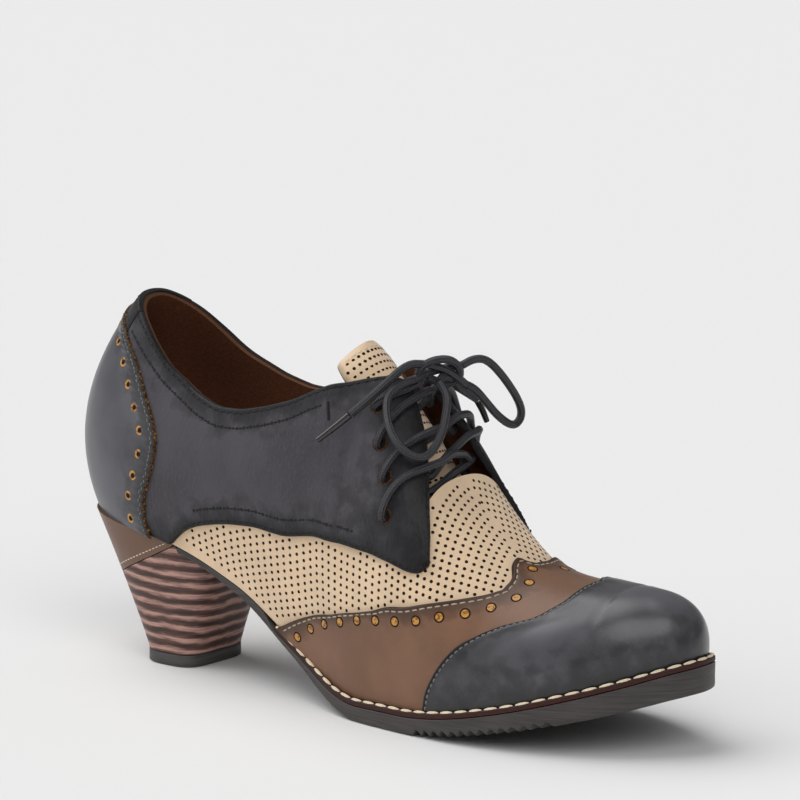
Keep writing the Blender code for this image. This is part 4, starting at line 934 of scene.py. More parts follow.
def finish(name):
    """The material of one finish, made when it is first asked for."""
    looks = bpy.context.scene.shoe_looks
    makers = {
        "nubuck": lambda n: nubuck(n, looks.vamp, scaled(looks.vamp, 0.62), scaled(looks.vamp, 1.12)),
        "quarter": lambda n: leather(n, looks.quarter, scaled(looks.quarter, 0.06), scaled(looks.quarter, 1.6),
                                     0.50, 0.02, 760.0, 0.00034, reach=0.011, cloud=38.0, stretch=0.5,
                                     shine=0.26),
        "counter": lambda n: leather(n, looks.counter, scaled(looks.counter, 0.12), scaled(looks.counter, 2.0),
                                     0.34, 0.14, 1700.0, 0.00003, reach=0.012, cloud=30.0, seed=2.0, shine=0.4),
        # the cap's deep shade darkens its cut edges and, spread up from its bottom in make_toe_cap, is also painted
        # shade of its lower side
        "cap": lambda n: leather(n, looks.cap, scaled(looks.cap, 0.10), scaled(looks.cap, 2.4),
                                 0.31, 0.22, 1700.0, 0.00003, reach=0.008, cloud=34.0, seed=5.0, shine=0.4),
        "wing": lambda n: leather(n, looks.wing, scaled(looks.wing, 0.20), scaled(looks.wing, 1.45),
                                  0.42, 0.06, 1500.0, 0.00006, reach=0.010, cloud=40.0, seed=9.0, shine=0.35),
        "heel leather": lambda n: leather(n, scaled(looks.wing, 1.9), scaled(looks.wing, 0.9),
                                          scaled(looks.wing, 2.6), 0.45, 0.08, 1500.0, 0.00004,
                                          reach=0.003, seed=11.0),
        "lining": lambda n: plain_fibre(n, (0.11, 0.034, 0.014), (0.21, 0.080, 0.038), 0.9, 1600.0, 0.0001),
        "raw edge": lambda n: plain_fibre(n, (0.42, 0.19, 0.07), (0.60, 0.32, 0.14), 0.8),
        "collar edge": lambda n: plain_fibre(n, (0.07, 0.03, 0.014), (0.17, 0.08, 0.035), 0.8),
        "ochre edge": lambda n: plain_fibre(n, (0.04, 0.016, 0.005), (0.38, 0.17, 0.035), 0.6, 800.0, 0.0002),
        "eyelet edge": lambda n: plain_fibre(n, (0.03, 0.012, 0.005), (0.20, 0.08, 0.022), 0.6, 1000.0, 0.0001),
        "dark edge": lambda n: plain_fibre(n, (0.006, 0.006, 0.008), (0.02, 0.02, 0.024), 0.5),
        "brown edge": lambda n: plain_fibre(n, (0.020, 0.009, 0.005), (0.06, 0.028, 0.016), 0.6),
        "black thread": lambda n: plain_fibre(n, (0.006, 0.006, 0.007), (0.02, 0.02, 0.024), 0.5),
        "grey thread": lambda n: plain_fibre(n, (0.12, 0.13, 0.13), (0.34, 0.34, 0.32), 0.7),
        "beige thread": lambda n: plain_fibre(n, (0.40, 0.32, 0.24), (0.62, 0.54, 0.44), 0.8),
        "cream thread": lambda n: plain_fibre(n, (0.70, 0.58, 0.42), (0.86, 0.78, 0.62), 0.75),
        # painted shade: this near-black stands in for the shade inside the fine holes, the eyelets and the punched
        # holes
        "hole": lambda n: plain_fibre(n, (0.012, 0.006, 0.003), (0.03, 0.014, 0.008), 0.9),
        "brogue": brogue_material,
        "sole": lambda n: sole_material(n, looks.sole, scaled(looks.sole, 2.0)),
        "welt": lambda n: plain_fibre(n, (0.03, 0.012, 0.010), (0.07, 0.025, 0.018), 0.6),
        "welt line": lambda n: plain_fibre(n, (0.12, 0.022, 0.014), (0.20, 0.04, 0.025), 0.7),
        "heel layers": lambda n: layers_material(n, (0.030, 0.010, 0.008), (0.12, 0.052, 0.038),
                                                 (0.50, 0.29, 0.235)),
        "rubber": lambda n: sole_material(n, (0.045, 0.042, 0.040), (0.085, 0.08, 0.076)),
        "lace": lambda n: braid_material(n, looks.lace, scaled(looks.lace, 3.6)),
        "aglet": lambda n: leather(n, (0.012, 0.012, 0.014), (0.01, 0.01, 0.01), (0.03, 0.03, 0.034), 0.18, 0.6,
                                   300.0, 0.00002),
    }
    if name not in MATERIALS:
        MATERIALS[name] = makers[name](name)
    return MATERIALS[name]


def scaled(colour, share):
    return tuple(channel * share for channel in tuple(colour)[:3])


class ShoeForms(bpy.types.PropertyGroup):
    """Sizes that a user would change."""

    hole: bpy.props.FloatProperty(name="Perforation", description="Width of the fine holes in the tan leather",
                                  default=0.00128, unit="LENGTH")
    hole_pitch: bpy.props.FloatProperty(name="Perforation pitch", description="Distance between rows of fine holes",
                                        default=0.00275, unit="LENGTH")
    hole_run: bpy.props.FloatProperty(name="Perforation run", description="Distance between columns of fine holes",
                                      default=0.0031, unit="LENGTH")
    brogue: bpy.props.FloatProperty(name="Brogue hole", description="Width of the large punched holes",
                                    default=0.0038, unit="LENGTH")
    crease: bpy.props.FloatProperty(name="Creases", description="Strength of the leather's creases",
                                    default=1.0, subtype="FACTOR")
    pinking: bpy.props.FloatProperty(name="Pinking", description="Depth of the counter's scalloped edge",
                                     default=0.0009, unit="LENGTH")
    welt_stitch: bpy.props.FloatProperty(name="Welt stitch", description="Distance from one welt stitch to the next",
                                         default=0.0060, unit="LENGTH")


def colour_property(name, description, default):
    return bpy.props.FloatVectorProperty(name=name, description=description, default=default, size=3,
                                         subtype="COLOR", min=0.0, max=1.0)


class ShoeLooks(bpy.types.PropertyGroup):
    """Colours that a user would change."""

    vamp: colour_property("Vamp", "Tan nubuck of the vamp and tongue", (0.76, 0.56, 0.37))
    quarter: colour_property("Quarters", "Charcoal leather of the quarters", (0.048, 0.045, 0.052))
    counter: colour_property("Counter", "Navy charcoal leather of the counter", (0.052, 0.052, 0.060))
    cap: colour_property("Toe cap", "Near-black leather of the toe cap", (0.040, 0.040, 0.045))
    wing: colour_property("Wing", "Taupe leather of the wing overlay", (0.155, 0.078, 0.044))
    lace: colour_property("Lace", "Waxed braid of the laces", (0.014, 0.014, 0.017))
    sole: colour_property("Sole", "Charcoal brown of the outsole", (0.034, 0.029, 0.028))
    floor: colour_property("Floor", "Pale floor of the stage", (0.80, 0.80, 0.80))


SIDES = (("lateral", True), ("medial", False))


def upper_top(along):
    """Girth share where the upper's walls end."""
    collar = collar_and_facing(along) - 0.004
    return np.where(along < THROAT_BACK, collar, np.minimum(throat(along), np.maximum(collar, 0.3)))


def make_upper():
    """The hollow upper: tan nubuck outside, suede inside, open at the collar and the throat."""
    rows, crown_rows = 44, 22
    back = np.concatenate((
        np.linspace(0.0, place(HEEL_AXIS), 45)[:-1],
        place(np.linspace(HEEL_AXIS, THROAT_FRONT, 110))))
    ahead = place(np.linspace(THROAT_FRONT, TOE_AXIS, 52))[1:]
    toe = np.linspace(place(TOE_AXIS), place(TOE_AXIS, False), 64)[1:-1]
    back_medial = np.concatenate((
        place(np.linspace(THROAT_FRONT, HEEL_AXIS, 110), False),
        np.linspace(place(HEEL_AXIS, False), LOOP, 45)[1:-1]))
    ahead_medial = place(np.linspace(TOE_AXIS, THROAT_FRONT, 52), False)[:-1]
    g = np.concatenate((back, ahead, toe, ahead_medial, back_medial))
    closed = np.concatenate((
        np.zeros(len(back) - 1, bool),
        np.ones(len(ahead) + len(toe) + len(ahead_medial) + 2, bool),
        np.zeros(len(back_medial) - 1, bool)))
    along = along_of(g)
    tops = np.where(closed, THROAT[-1][1], upper_top(along))
    v = np.concatenate((
        tops[:, None] * np.linspace(0, 1, rows + 1)[None],
        tops[:, None] + (1 - tops[:, None]) * np.linspace(0, 1, crown_rows + 1)[None, 1:]), axis=1)
    g = np.broadcast_to(g[:, None], v.shape)
    keep = np.ones((len(v), v.shape[1] - 1), bool)
    both = closed & np.roll(closed, -1)
    keep[:, rows:] = both[:, None]
    top = leather_surface(g, v, 0.0)
    under = leather_surface(g, v, -UPPER_WALL)
    wall = edge_distances(on_last(g[:, :rows + 1], v[:, :rows + 1]))["high"]
    far = np.ones(v.shape)
    far[:, :rows + 1] = np.where(closed[:, None], 1.0, wall)
    obj = shell("upper_vamp", top, under, [finish("nubuck"), finish("lining"), finish("collar edge")],
                keep=keep, wrap=True, rim=2, inner=1, edge_far=far, joined=True)
    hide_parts("upper")


FAN_START = 0.60


def vamp_holes():
    """Places of the fine holes in the tan leather, a sheared grid that other leathers hide in part."""
    forms = bpy.context.scene.shoe_forms
    places = []
    shear = 0.31 * forms.hole_pitch
    dense = np.linspace(FAN_START, 0.92, 600)
    over_ridge = distances(ridge(dense))
    for lateral in (True, False):
        for column in range(int((0.90 - 0.19) * LAST_LENGTH / forms.hole_run)):
            low = 0.19 + column * forms.hole_run / LAST_LENGTH
            run = (low - FAN_START) * LAST_LENGTH
            high = float(np.interp(run, over_ridge, dense)) if run > 0 else low
            v = np.linspace(0.0, 1.0, 240)
            along = low + (high - low) * v
            g = place(along, lateral)
            line = on_last(g, v)
            down = distances(line[::-1])
            at = np.arange(0.0006 + (column * shear) % forms.hole_pitch, down[-1], forms.hole_pitch)
            for girth in np.interp(at, down, v[::-1]):
                here = low + (high - low) * girth
                if hole_shows(here, girth, 0 if lateral else 1):
                    places.append((float(place(here, lateral)), girth))
    return np.array(places)


def hole_shows(along, girth, which):
    """Whether a fine hole lies on bare tan leather, clear of the other leathers' edges."""
    if along > wing_edges[which](girth) - 0.004 or girth < 0.02:
        return False
    if along < 0.662:
        below = girth < quarter_foot(along) - 0.006
        open_here = THROAT_BACK < along < THROAT_FRONT + 0.006 and girth > throat(along) - 0.03
        ahead = along > 0.58 and girth > collar_and_facing(along) + 0.010 and not open_here
        return bool(below or ahead)
    return along > 0.640 or girth < 0.55


def hole_pattern(width):
    """A small round plug with a slightly raised rim: its points and faces."""
    profile = ((0.0, 0.00003), (width * 0.36, 0.00003), (width / 2, 0.00001), (width * 0.45, -0.0003),
               (0.0, -0.0004))
    return turned(profile, 10)


def make_vamp_holes():
    forms = bpy.context.scene.shoe_forms
    places = vamp_holes()
    pattern, faces = hole_pattern(forms.hole)
    frames = surface_frames(places[:, 0], places[:, 1], 0.0)
    # painted shade: each fine hole is a shallow plug in the near-black hole finish, for the shade inside it
    obj = many("vamp_perforations", pattern, faces, frames, [finish("hole")])


COLLAR_ROW = 0.0017
COLLAR_SECOND_ROW = 0.0070
FOOT_ROW = 0.0016
FOOT_SECOND_ROW = 0.0062


def quarter_panel(lateral):
    """The quarter: from under the counter to the facing, between its foot and the collar."""
    dense = np.linspace(0.012, QUARTER_FOOT[-1][0] - 0.0004, 3000)
    edge_line = on_last(place(dense, lateral), collar_and_facing(dense))
    far = distances(edge_line)
    shares = spread(far[-1], 0.0010)
    along = np.interp(shares * far[-1], far, dense)
    g = place(along, lateral)
    low = np.maximum(quarter_foot(along), 0.0)
    high = collar_and_facing(along)
    rows = spread(0.050, 0.0009)
    v = low[:, None] + (high - low)[:, None] * rows[None]
    g = np.broadcast_to(g[:, None], v.shape)
    panel = Panel(g, v, GAP + OVERLAY, ("low", "high", "end"))
    panel.groove("high", COLLAR_ROW)
    panel.groove("low", FOOT_ROW)
    facing = 1 - 0.86 * smooth_step(0.48, 0.58, along)[:, None]
    panel.edge = np.minimum(panel.far["low"], panel.far["high"] * facing)
    panel.edge = np.minimum(panel.edge, panel.far["end"] * 0.2)
    tuck_under_counter(panel)
    return panel


def behind_counter(g, v):
    """How far a place lies behind the counter's front edge."""
    back = np.minimum(np.mod(g, LOOP), LOOP - np.mod(g, LOOP))
    return (place(np.maximum(counter_edge(v), 0.0006)) - back) * LOOP_STEP


def tuck_under_counter(panel):
    """Thins the quarter where the counter or the collar tab covers it."""
    under = np.where(panel.v < COUNTER_EDGE[-1][0], behind_counter(panel.g, panel.v), -1.0)
    back = np.minimum(np.mod(panel.g, LOOP), LOOP - np.mod(panel.g, LOOP))
    tab = np.where(panel.v > 0.47, TAB_HALF_SPAN - back * LOOP_STEP, -1.0)
    share = np.maximum(smooth_step(0.0005, 0.004, under), smooth_step(0.0005, 0.003, tab))
    panel.top = panel.top * (1 - share) + 0.0003 * share
    panel.hidden = (under > 0.006) | (tab > 0.005)


def make_quarter(name, lateral):
    panel = quarter_panel(lateral)
    keep = ~(panel.hidden[:-1, :-1] & panel.hidden[1:, 1:])
    obj = panel_object(f"{name}_leather", panel, [finish("quarter"), finish("lining"), finish("dark edge")],
                       keep=keep, inner=1, rim=2)
    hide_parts(name)
    black = finish("black thread")
    back = (along_of(panel.g[:, -1]) < 0.062).mean()
    rows = [
        ("collar_stitches", "high", COLLAR_ROW, back, 1.0, 0.0031),
        ("foot_stitches", "low", FOOT_ROW, 0.24, 1.0, 0.0029),
        ("foot_second_stitches", "low", FOOT_SECOND_ROW, 0.27, 0.67, 0.0033),
    ]
    for label, side_name, inside, first, last, pitch in rows:
        row = row_on_panel(f"{name}_{label}", panel, side_name, inside, pitch, pitch * 0.64, 0.00034, black,
                           first=first, last=last, sink=0.8, needle=0.0014)
    g, v, height = panel.line("high", COLLAR_SECOND_ROW)
    along = along_of(g)
    chosen = (along > 0.062) & (along < 0.470)
    row = stitch_row(f"{name}_collar_second_stitches", leather_surface(g[chosen], v[chosen], height[chosen]),
                     out_of_last(g[chosen], v[chosen]), 0.0033, 0.0021, 0.00034, black, sink=0.8, needle=0.0014)
    make_bar_tack(name, lateral)
    make_eyelets(name, lateral)


BAR_TACK = ((0.468, 0.585), (0.474, 0.534))


def make_bar_tack(name, lateral):
    """The short thick row of crosswise stitches that ends the collar's second row."""
    along = np.linspace(BAR_TACK[0][0], BAR_TACK[1][0], 24)
    girth = np.linspace(BAR_TACK[0][1], BAR_TACK[1][1], 24)
    g = place(along, lateral)
    points = leather_surface(g, girth, GAP + OVERLAY)
    row = stitch_row(f"{name}_bar_tack", points, out_of_last(g, girth), 0.00042, 0.0013, 0.00022,
                     finish("black thread"), sink=0.5, lean=6.0)


def make_eyelets(name, lateral):
    """The punched holes of the facing, with their raw leather edge."""
    along = np.array([row[0] for row in EYELETS])
    girth = np.array([row[1] for row in EYELETS])
    g = place(along, lateral)
    r = EYELET / 2
    profile = ((0.0, 0.00002), (r * 0.80, 0.00004), (r * 0.86, 0.00016), (r * 0.99, 0.00018), (r * 1.06, 0.0),
               (r * 1.0, -0.0004), (0.0, -0.0005))
    pattern, faces = turned(profile, 24)
    # painted shade: the disc inside each eyelet takes the near-black hole finish for the shade in the hole
    dark = np.array([1 if max(face) <= 24 else 0 for face in faces])
    frames = surface_frames(g, girth, GAP + OVERLAY)
    obj = many(f"{name}_eyelet_edges", pattern, faces, frames, [finish("eyelet edge"), finish("hole")], dark)


PINK_PITCH = 0.0030
COUNTER_ROW = 0.0021
COUNTER_HOLE_ROW = 0.0078
COUNTER_RISE = 0.0008


def make_counter():
    """The smooth counter round the heel, with its pinked ochre edge, stitches and punched holes."""
    forms = bpy.context.scene.shoe_forms
    top = COUNTER_EDGE[-1][0]
    dense = np.linspace(0.0, top, 2000)
    reach = place(np.maximum(counter_edge(dense), 0.0006))
    line = on_last(reach, dense)
    far = distances(line)
    rows = np.interp(np.arange(0.0, far[-1], 0.00042), far, dense)
    where = np.interp(rows, dense, far)
    scallops = np.abs(np.sin(math.pi * where / PINK_PITCH))
    reach = place(np.maximum(counter_edge(rows), 0.0006)) - forms.pinking / LOOP_STEP * scallops
    reach = np.maximum(reach, 0.3)
    shares = spread(0.085, 0.0013)
    g = LOOP + (2 * shares[:, None] - 1) * reach[None]
    panel = Panel(g, rows[None], GAP + COUNTER_WALL, ("start", "end"), radius=0.0005, steep=0.45)
    lifted = COUNTER_RISE * (1 - smooth_step(0.001, 0.009, panel.edge))
    panel.top = panel.top + lifted
    panel.under = panel.under + (GAP + OVERLAY) * (1 - smooth_step(0.0, 0.005, panel.edge)) * 0.98
    panel.groove("start", COUNTER_ROW)
    panel.groove("end", COUNTER_ROW)
    obj = panel_object("counter_leather", panel, [finish("counter"), finish("ochre edge")], rim=1, raw=0.0004)
    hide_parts("counter")
    for label, side_name in (("lateral", "end"), ("medial", "start")):
        row = row_on_panel(f"counter_stitches_{label}", panel, side_name, COUNTER_ROW, 0.0019, 0.0015, 0.00022,
                           finish("grey thread"), last=0.93, sink=0.7)
        g, v, height = panel.line(side_name, COUNTER_HOLE_ROW)
        chosen = v < 0.60
        places = evenly(g[chosen], v[chosen], height[chosen], 0.0098, 0.0058)
        punch(f"counter_holes_{label}", places, 0.0034, True)


def evenly(g, v, height, pitch, start):
    """Places a pitch apart along a line of places."""
    points = on_last(g, v)
    far = distances(points)
    at = np.arange(start, far[-1], pitch)
    return [np.interp(at, far, values) for values in (g, v, height)]


def punch(name, places, width, deep):
    """Large punched holes with a raised rim: open ones have a raw ochre rim round a centre painted dark as the shade
    in the hole, closed ones show the leather under them inside a rim painted dark as the shadow at the pit's edge.
    """
    g, v, height = places
    r = width / 2
    profile = ((0.0, 0.00012), (r * 0.34, 0.00011), (r * 0.56, 0.00006), (r * 0.74, 0.00007), (r * 0.92, 0.00014),
               (r * 1.04, 0.00002), (r, -0.0005), (0.0, -0.0006))
    pattern, faces = turned(profile, 20)
    slots = []
    for face in faces:
        ring = (max(face) - 1) // 20
        # painted shade: open holes take the near-black finish at their centre, closed ones along their rim as the
        # shadow at the pit's edge
        dark = ring <= 1 if deep else ring >= 3
        slots.append(1 if dark else 0)
    frames = surface_frames(g, v, height)
    obj = many(name, pattern, faces, frames, [finish("brogue"), finish("hole")], np.array(slots))


def make_collar_tab():
    """The strip over the back seam, up to the collar's edge."""
    reach = TAB_HALF_SPAN / LOOP_STEP
    shares = spread(2 * TAB_HALF_SPAN, 0.0009)
    g = LOOP + (2 * shares - 1) * reach
    high = collar_and_facing(along_of(g))
    low = np.full_like(high, 0.50)
    rows = spread(0.022, 0.0008)
    v = low[:, None] + (high - low)[:, None] * rows[None]
    g = np.broadcast_to(g[:, None], v.shape)
    panel = Panel(g, v, GAP + COUNTER_WALL, ("start", "end", "high"))
    under = np.where(v < COUNTER_EDGE[-1][0], behind_counter(g, v), -1.0)
    share = smooth_step(0.0003, 0.003, under)
    panel.top = panel.top * (1 - share) + 0.0003 * share
    panel.groove("high", COLLAR_ROW)
    hidden = under > 0.005
    keep = ~(hidden[:-1, :-1] & hidden[1:, 1:])
    obj = panel_object("collar_tab_leather", panel, [finish("quarter"), finish("dark edge")], keep=keep, rim=1)
    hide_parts("collar_tab")
    row = row_on_panel("collar_tab_stitches", panel, "high", COLLAR_ROW, 0.0024, 0.0019, 0.00024,
                       finish("black thread"), sink=0.8)
    row = row_on_panel("collar_tab_second_stitches", panel, "high", COLLAR_SECOND_ROW, 0.0024, 0.0019, 0.00024,
                       finish("black thread"), sink=0.8)


WING_ROW = 0.0021
WING_HOLE_ROW = 0.0074
CAP_ROW = 0.0017
CAP_RISE = 0.0005


def make_wing():
    """The wing overlay: over the foot between its curved back edge and the toe cap."""
    rows = 150
    k = np.arange(-rows, rows + 1)
    share = 1 - np.abs(k) / rows
    girth = share ** 1.1
    lateral = k <= 0
    start = np.where(lateral, wing_edges[0](girth), wing_edges[1](girth))
    end = np.where(lateral, cap_edges[0](girth), cap_edges[1](girth)) + 0.008
    columns = spread(0.060, 0.0010)
    along = start[None] + (end - start)[None] * columns[:, None]
    g = np.where(lateral[None], place(along, True), place(along, False))
    panel = Panel(g, girth[None], GAP + OVERLAY, ("start",), radius=0.0006, steep=0.5)
    panel.groove("start", WING_ROW)
    tail = np.clip((panel.far["start"] + panel.far["end"]) / 0.010, 0.0, 1.0)
    panel.top = panel.top * (0.3 + 0.7 * tail)
    obj = panel_object("wing_leather", panel, [finish("wing"), finish("brown edge")], rim=1, raw=0.0002)
    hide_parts("wing")
    g, v, height = panel.line("start", WING_ROW)
    middle = len(g) // 2
    for label, chosen in (("lateral", slice(3, middle + 1)), ("medial", slice(middle, len(g) - 3))):
        points = leather_surface(g[chosen], v[chosen], height[chosen])
        row = stitch_row(f"wing_stitches_{label}", points, out_of_last(g[chosen], v[chosen]), 0.0030, 0.0023,
                         0.00027, finish("beige thread"), sink=0.6)
    g, v, height = panel.line("start", WING_HOLE_ROW)
    forms = bpy.context.scene.shoe_forms
    for label, chosen in (("lateral", slice(0, middle + 1)), ("medial", slice(middle + 4, len(g)))):
        places = evenly(g[chosen], v[chosen], height[chosen], 0.0090, 0.006)
        punch(f"wing_holes_{label}", places, forms.brogue, False)


def make_toe_cap():
    """The burnished toe cap: round the toe from its back edge on one side to that on the other."""
    rows = np.linspace(0.0, 1.0, 110) ** 0.95
    start, end = place(cap_edges[0](rows), True), place(cap_edges[1](rows), False)
    shares = spread(0.240, 0.0011)
    g = start[None] + (end - start)[None] * shares[:, None]
    panel = Panel(g, rows[None], GAP + CAP_WALL, ("start", "end"), radius=0.0008, steep=0.4)
    tall = CAP_RISE * (1 - smooth_step(0.001, 0.013, panel.edge))
    panel.top = panel.top + tall
    panel.under = panel.under + (GAP + OVERLAY) * (1 - smooth_step(0.001, 0.004, panel.edge)) * 0.98
    panel.groove("start", CAP_ROW)
    panel.groove("end", CAP_ROW)
    # darker towards the bottom: the deep shade spreads up from the cap's lower edge, partly its burnished dark band
    # and partly painted shade of its lower side
    panel.edge = np.minimum(panel.edge, 0.0015 + panel.far["low"] * 0.35)
    obj = panel_object("toe_cap_leather", panel, [finish("cap"), finish("dark edge")], rim=1, raw=0.0013)
    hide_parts("toe_cap")
    for label, side_name in (("lateral", "start"), ("medial", "end")):
        row = row_on_panel(f"cap_stitches_{label}", panel, side_name, CAP_ROW, 0.0023, 0.0017, 0.00030,
                           finish("grey thread"), sink=0.7)


def ridge(along):
    """The last's top line."""
    high = feather(along) + rise(along) * INSTEP_HEIGHT
    return np.stack((along * LAST_LENGTH, centre(along) * BALL_WIDTH, high), axis=-1)


def tongue_frame(along):
    """The ways forward and down of the tongue."""
    slope = unit(ridge(along + 0.004) - ridge(along - 0.004))
    down = np.stack((slope[..., 2], np.zeros_like(slope[..., 0]), -slope[..., 0]), axis=-1)
    return slope, down


def on_tongue(along, across, depth=0.0):
    """Points of the tongue's top face, or below it: along the foot, and -1 to 1 across."""
    along, across = np.broadcast_arrays(np.asarray(along, float), np.asarray(across, float))
    slope, down = tongue_frame(along)
    sunk = TONGUE_SINK * tongue_sink(along) + TONGUE_ARCH * across * across + depth
    points = ridge(along) + down * sunk[..., None]
    points[..., 1] += across * tongue_width(along) * TONGUE_HALF_WIDTH
    return points


def make_tongue():
    first, last = TONGUE[0][0], TONGUE[-1][0]
    along = first + (last - first) * spread(0.075, 0.0010)
    across = 2 * spread(0.027, 0.0008) - 1
    a, c = np.meshgrid(along, across, indexing="ij")
    far = edge_distances(on_tongue(a, c))
    near = np.min([far[name] for name in ("start", "low", "high")], axis=0)
    round_off = np.sqrt(np.clip(1 - (1 - np.clip(near / 0.0009, 0, 1)) ** 2, 0, 1))
    depth = TONGUE_WALL * 0.5 * (1 - round_off)
    top = on_tongue(a, c, depth) + SHIFT
    under = on_tongue(a, c, TONGUE_WALL - depth) + SHIFT
    obj = shell("tongue_nubuck", top, under, [finish("nubuck"), finish("lining"), finish("raw edge")], inner=1,
                rim=2, edge_far=near)
    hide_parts("tongue")
    forms = bpy.context.scene.shoe_forms
    places = []
    for row, at in enumerate(np.arange(first + 0.013, last - 0.02, forms.hole_pitch / LAST_LENGTH * 0.8)):
        for column in range(-7, 8):
            side_at = (column + (0.5 if row % 2 else 0.0)) * forms.hole_run * 0.62 / TONGUE_HALF_WIDTH
            if abs(side_at) < 0.93:
                places.append((at, side_at))
    places = np.array(places)
    slope, down = tongue_frame(places[:, 0])
    centres = on_tongue(places[:, 0], places[:, 1]) + SHIFT
    ahead = unit(on_tongue(places[:, 0], places[:, 1] + 0.01) - on_tongue(places[:, 0], places[:, 1] - 0.01))
    out = unit(np.cross(slope, ahead))
    pattern, faces = hole_pattern(forms.hole)
    # painted shade: the tongue's fine holes are plugs in the near-black hole finish, for the shade inside them
    holes = many("tongue_perforations", pattern, faces, (centres, slope, ahead, out), [finish("hole")])
    share = np.linspace(-0.9, 0.9, 40)
    line = on_tongue(np.full_like(share, first + 0.009), share) + SHIFT
    slope, down = tongue_frame(np.full_like(share, first + 0.009))
    row = stitch_row("tongue_stitches", line, -down, 0.0027, 0.0019, 0.00024, finish("cream thread"), sink=0.6)


def outline(margin):
    """The feather line from above moved out by margin(along): x, y and the share it came from."""
    g = np.arange(0.0, LOOP, 0.5)
    at = foot(g)
    way = foot(g + 2) - foot(g - 2)
    size = np.linalg.norm(way, axis=1)
    along = at[:, 0] / LAST_LENGTH
    out = margin(along)
    moved_x, moved_y = at[:, 0] + way[:, 1] / size * out, at[:, 1] - way[:, 0] / size * out
    return np.stack((moved_x, moved_y, along), axis=1)


TIP_START = 0.78
FULL_LEDGE = GAP + CAP_WALL + WELT_LEDGE


def level_share(along, source):
    """Where a height is read: at its own place, but round the toe at the place it was moved from."""
    share = np.clip((along - TIP_START) / (TOE_AXIS - TIP_START), 0.0, 1.0)
    return along + (source - along) * share


def sides_at(points, x):
    """The lateral and the medial side of an outline at x, each as its y and where its height is read."""
    front = int(np.argmax(points[:, 0]))
    back = int(np.argmin(points[:, 0]))
    rolled = np.roll(points, -back, axis=0)
    front = (front - back) % len(points)
    found = []
    for branch in (rolled[:front + 1], np.concatenate((rolled[front:], rolled[:1]))[::-1]):
        xs = np.maximum.accumulate(branch[:, 0])
        y = np.interp(x, xs, branch[:, 1])
        source = np.interp(x, xs, branch[:, 2])
        found.append((y, level_share(x / LAST_LENGTH, source)))
    return found


def ledge(along):
    return FULL_LEDGE * sole_margin(along) - GAP


def welt_share(along):
    """0 behind the welt and 1 along it, with a short ramp where it starts."""
    ramp = 0.020
    return np.clip((along - WELT_START + ramp + 0.004) / ramp, 0.0, 1.0)


def sole_top(along):
    return feather(along) - GAP - welt_share(along) * (WELT_THICKNESS + GAP)


def closed_loft(name, rings, materials, sharp=40, slots=None):
    """A closed solid through rings of points, capped at both ends."""
    m, n = rings.shape[:2]
    index = np.arange(m * n).reshape(m, n)
    a, b = index[:-1], index[1:]
    quads = np.stack((a, np.roll(a, -1, 1), np.roll(b, -1, 1), b), axis=-1).reshape(-1, 4).tolist()
    faces = quads + [index[0][::-1].tolist(), index[-1].tolist()]
    mesh = bpy.data.meshes.new(name)
    mesh.from_pydata(rings.reshape(-1, 3).tolist(), [], faces)
    if slots is not None:
        values = np.concatenate((np.tile(slots, m - 1), [0, 0]))
        mesh.polygons.foreach_set("material_index", values.astype(np.int32))
    bm = bmesh.new()
    bm.from_mesh(mesh)
    bmesh.ops.recalc_face_normals(bm, faces=bm.faces)
    bm.to_mesh(mesh)
    bm.free()
    return dressed(name, mesh, materials, sharp=sharp)


def make_outsole():
    """The outsole as cross sections: soft side edges, a level flat at the ball and sawtooth ribs."""
    points = outline(ledge)
    tip = points[:, 0].max() / LAST_LENGTH
    pitch = TREAD_PITCH / LAST_LENGTH
    ribs = int((TREAD_END - TREAD_START) / pitch)
    back = np.linspace(OUTSOLE_BACK, TREAD_START, 110)
    alongs, depths = list(back), [0.0] * len(back)
    for rib in range(ribs):
        start = TREAD_START + rib * pitch
        alongs += [start + 0.30 * pitch, start + 0.55 * pitch, start + 0.78 * pitch, start + pitch]
        depths += [TREAD_DEPTH, TREAD_DEPTH * 0.8, TREAD_DEPTH * 0.4, 0.0]
    front = alongs[-1] + (tip - 0.00002 - alongs[-1]) * np.sin(np.linspace(0, math.pi / 2, 40))[1:]
    alongs = np.array(alongs + list(front))
    depths = np.array(depths + [0.0] * len(front))
    (left, a), (right, b) = sides_at(points, alongs * LAST_LENGTH)
    bevel = 0.0009
    rings = []
    for number, along in enumerate(alongs):
        ends = []
        for y, source, way in ((left[number], a[number], 1), (right[number], b[number], -1)):
            low, high = sole_low(source) + depths[number], sole_top(source)
            room = min(bevel, abs(right[number] - left[number]) * 0.2)
            fall = min(bevel, (high - low) * 0.4)
            ends.append([(y + way * room * 1.4, low), (y + way * room * 0.35, low + fall * 0.3), (y, low + fall),
                         (y + way * 0.0001, (low + high) / 2), (y, high - fall * 0.3), (y + way * room * 0.3, high)])
        (left_y, left_z), (right_y, right_z) = ends[0][0], ends[1][0]
        under = [(left_y + (right_y - left_y) * t, left_z + (right_z - left_z) * t) for t in (0.25, 0.5, 0.75)]
        ring = ends[0][::-1] + under + ends[1]
        rings.append([(along * LAST_LENGTH, y, z) for y, z in ring])
    obj = closed_loft("outsole_rubber", np.array(rings) + SHIFT, [finish("sole")], sharp=35)
    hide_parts("outsole")


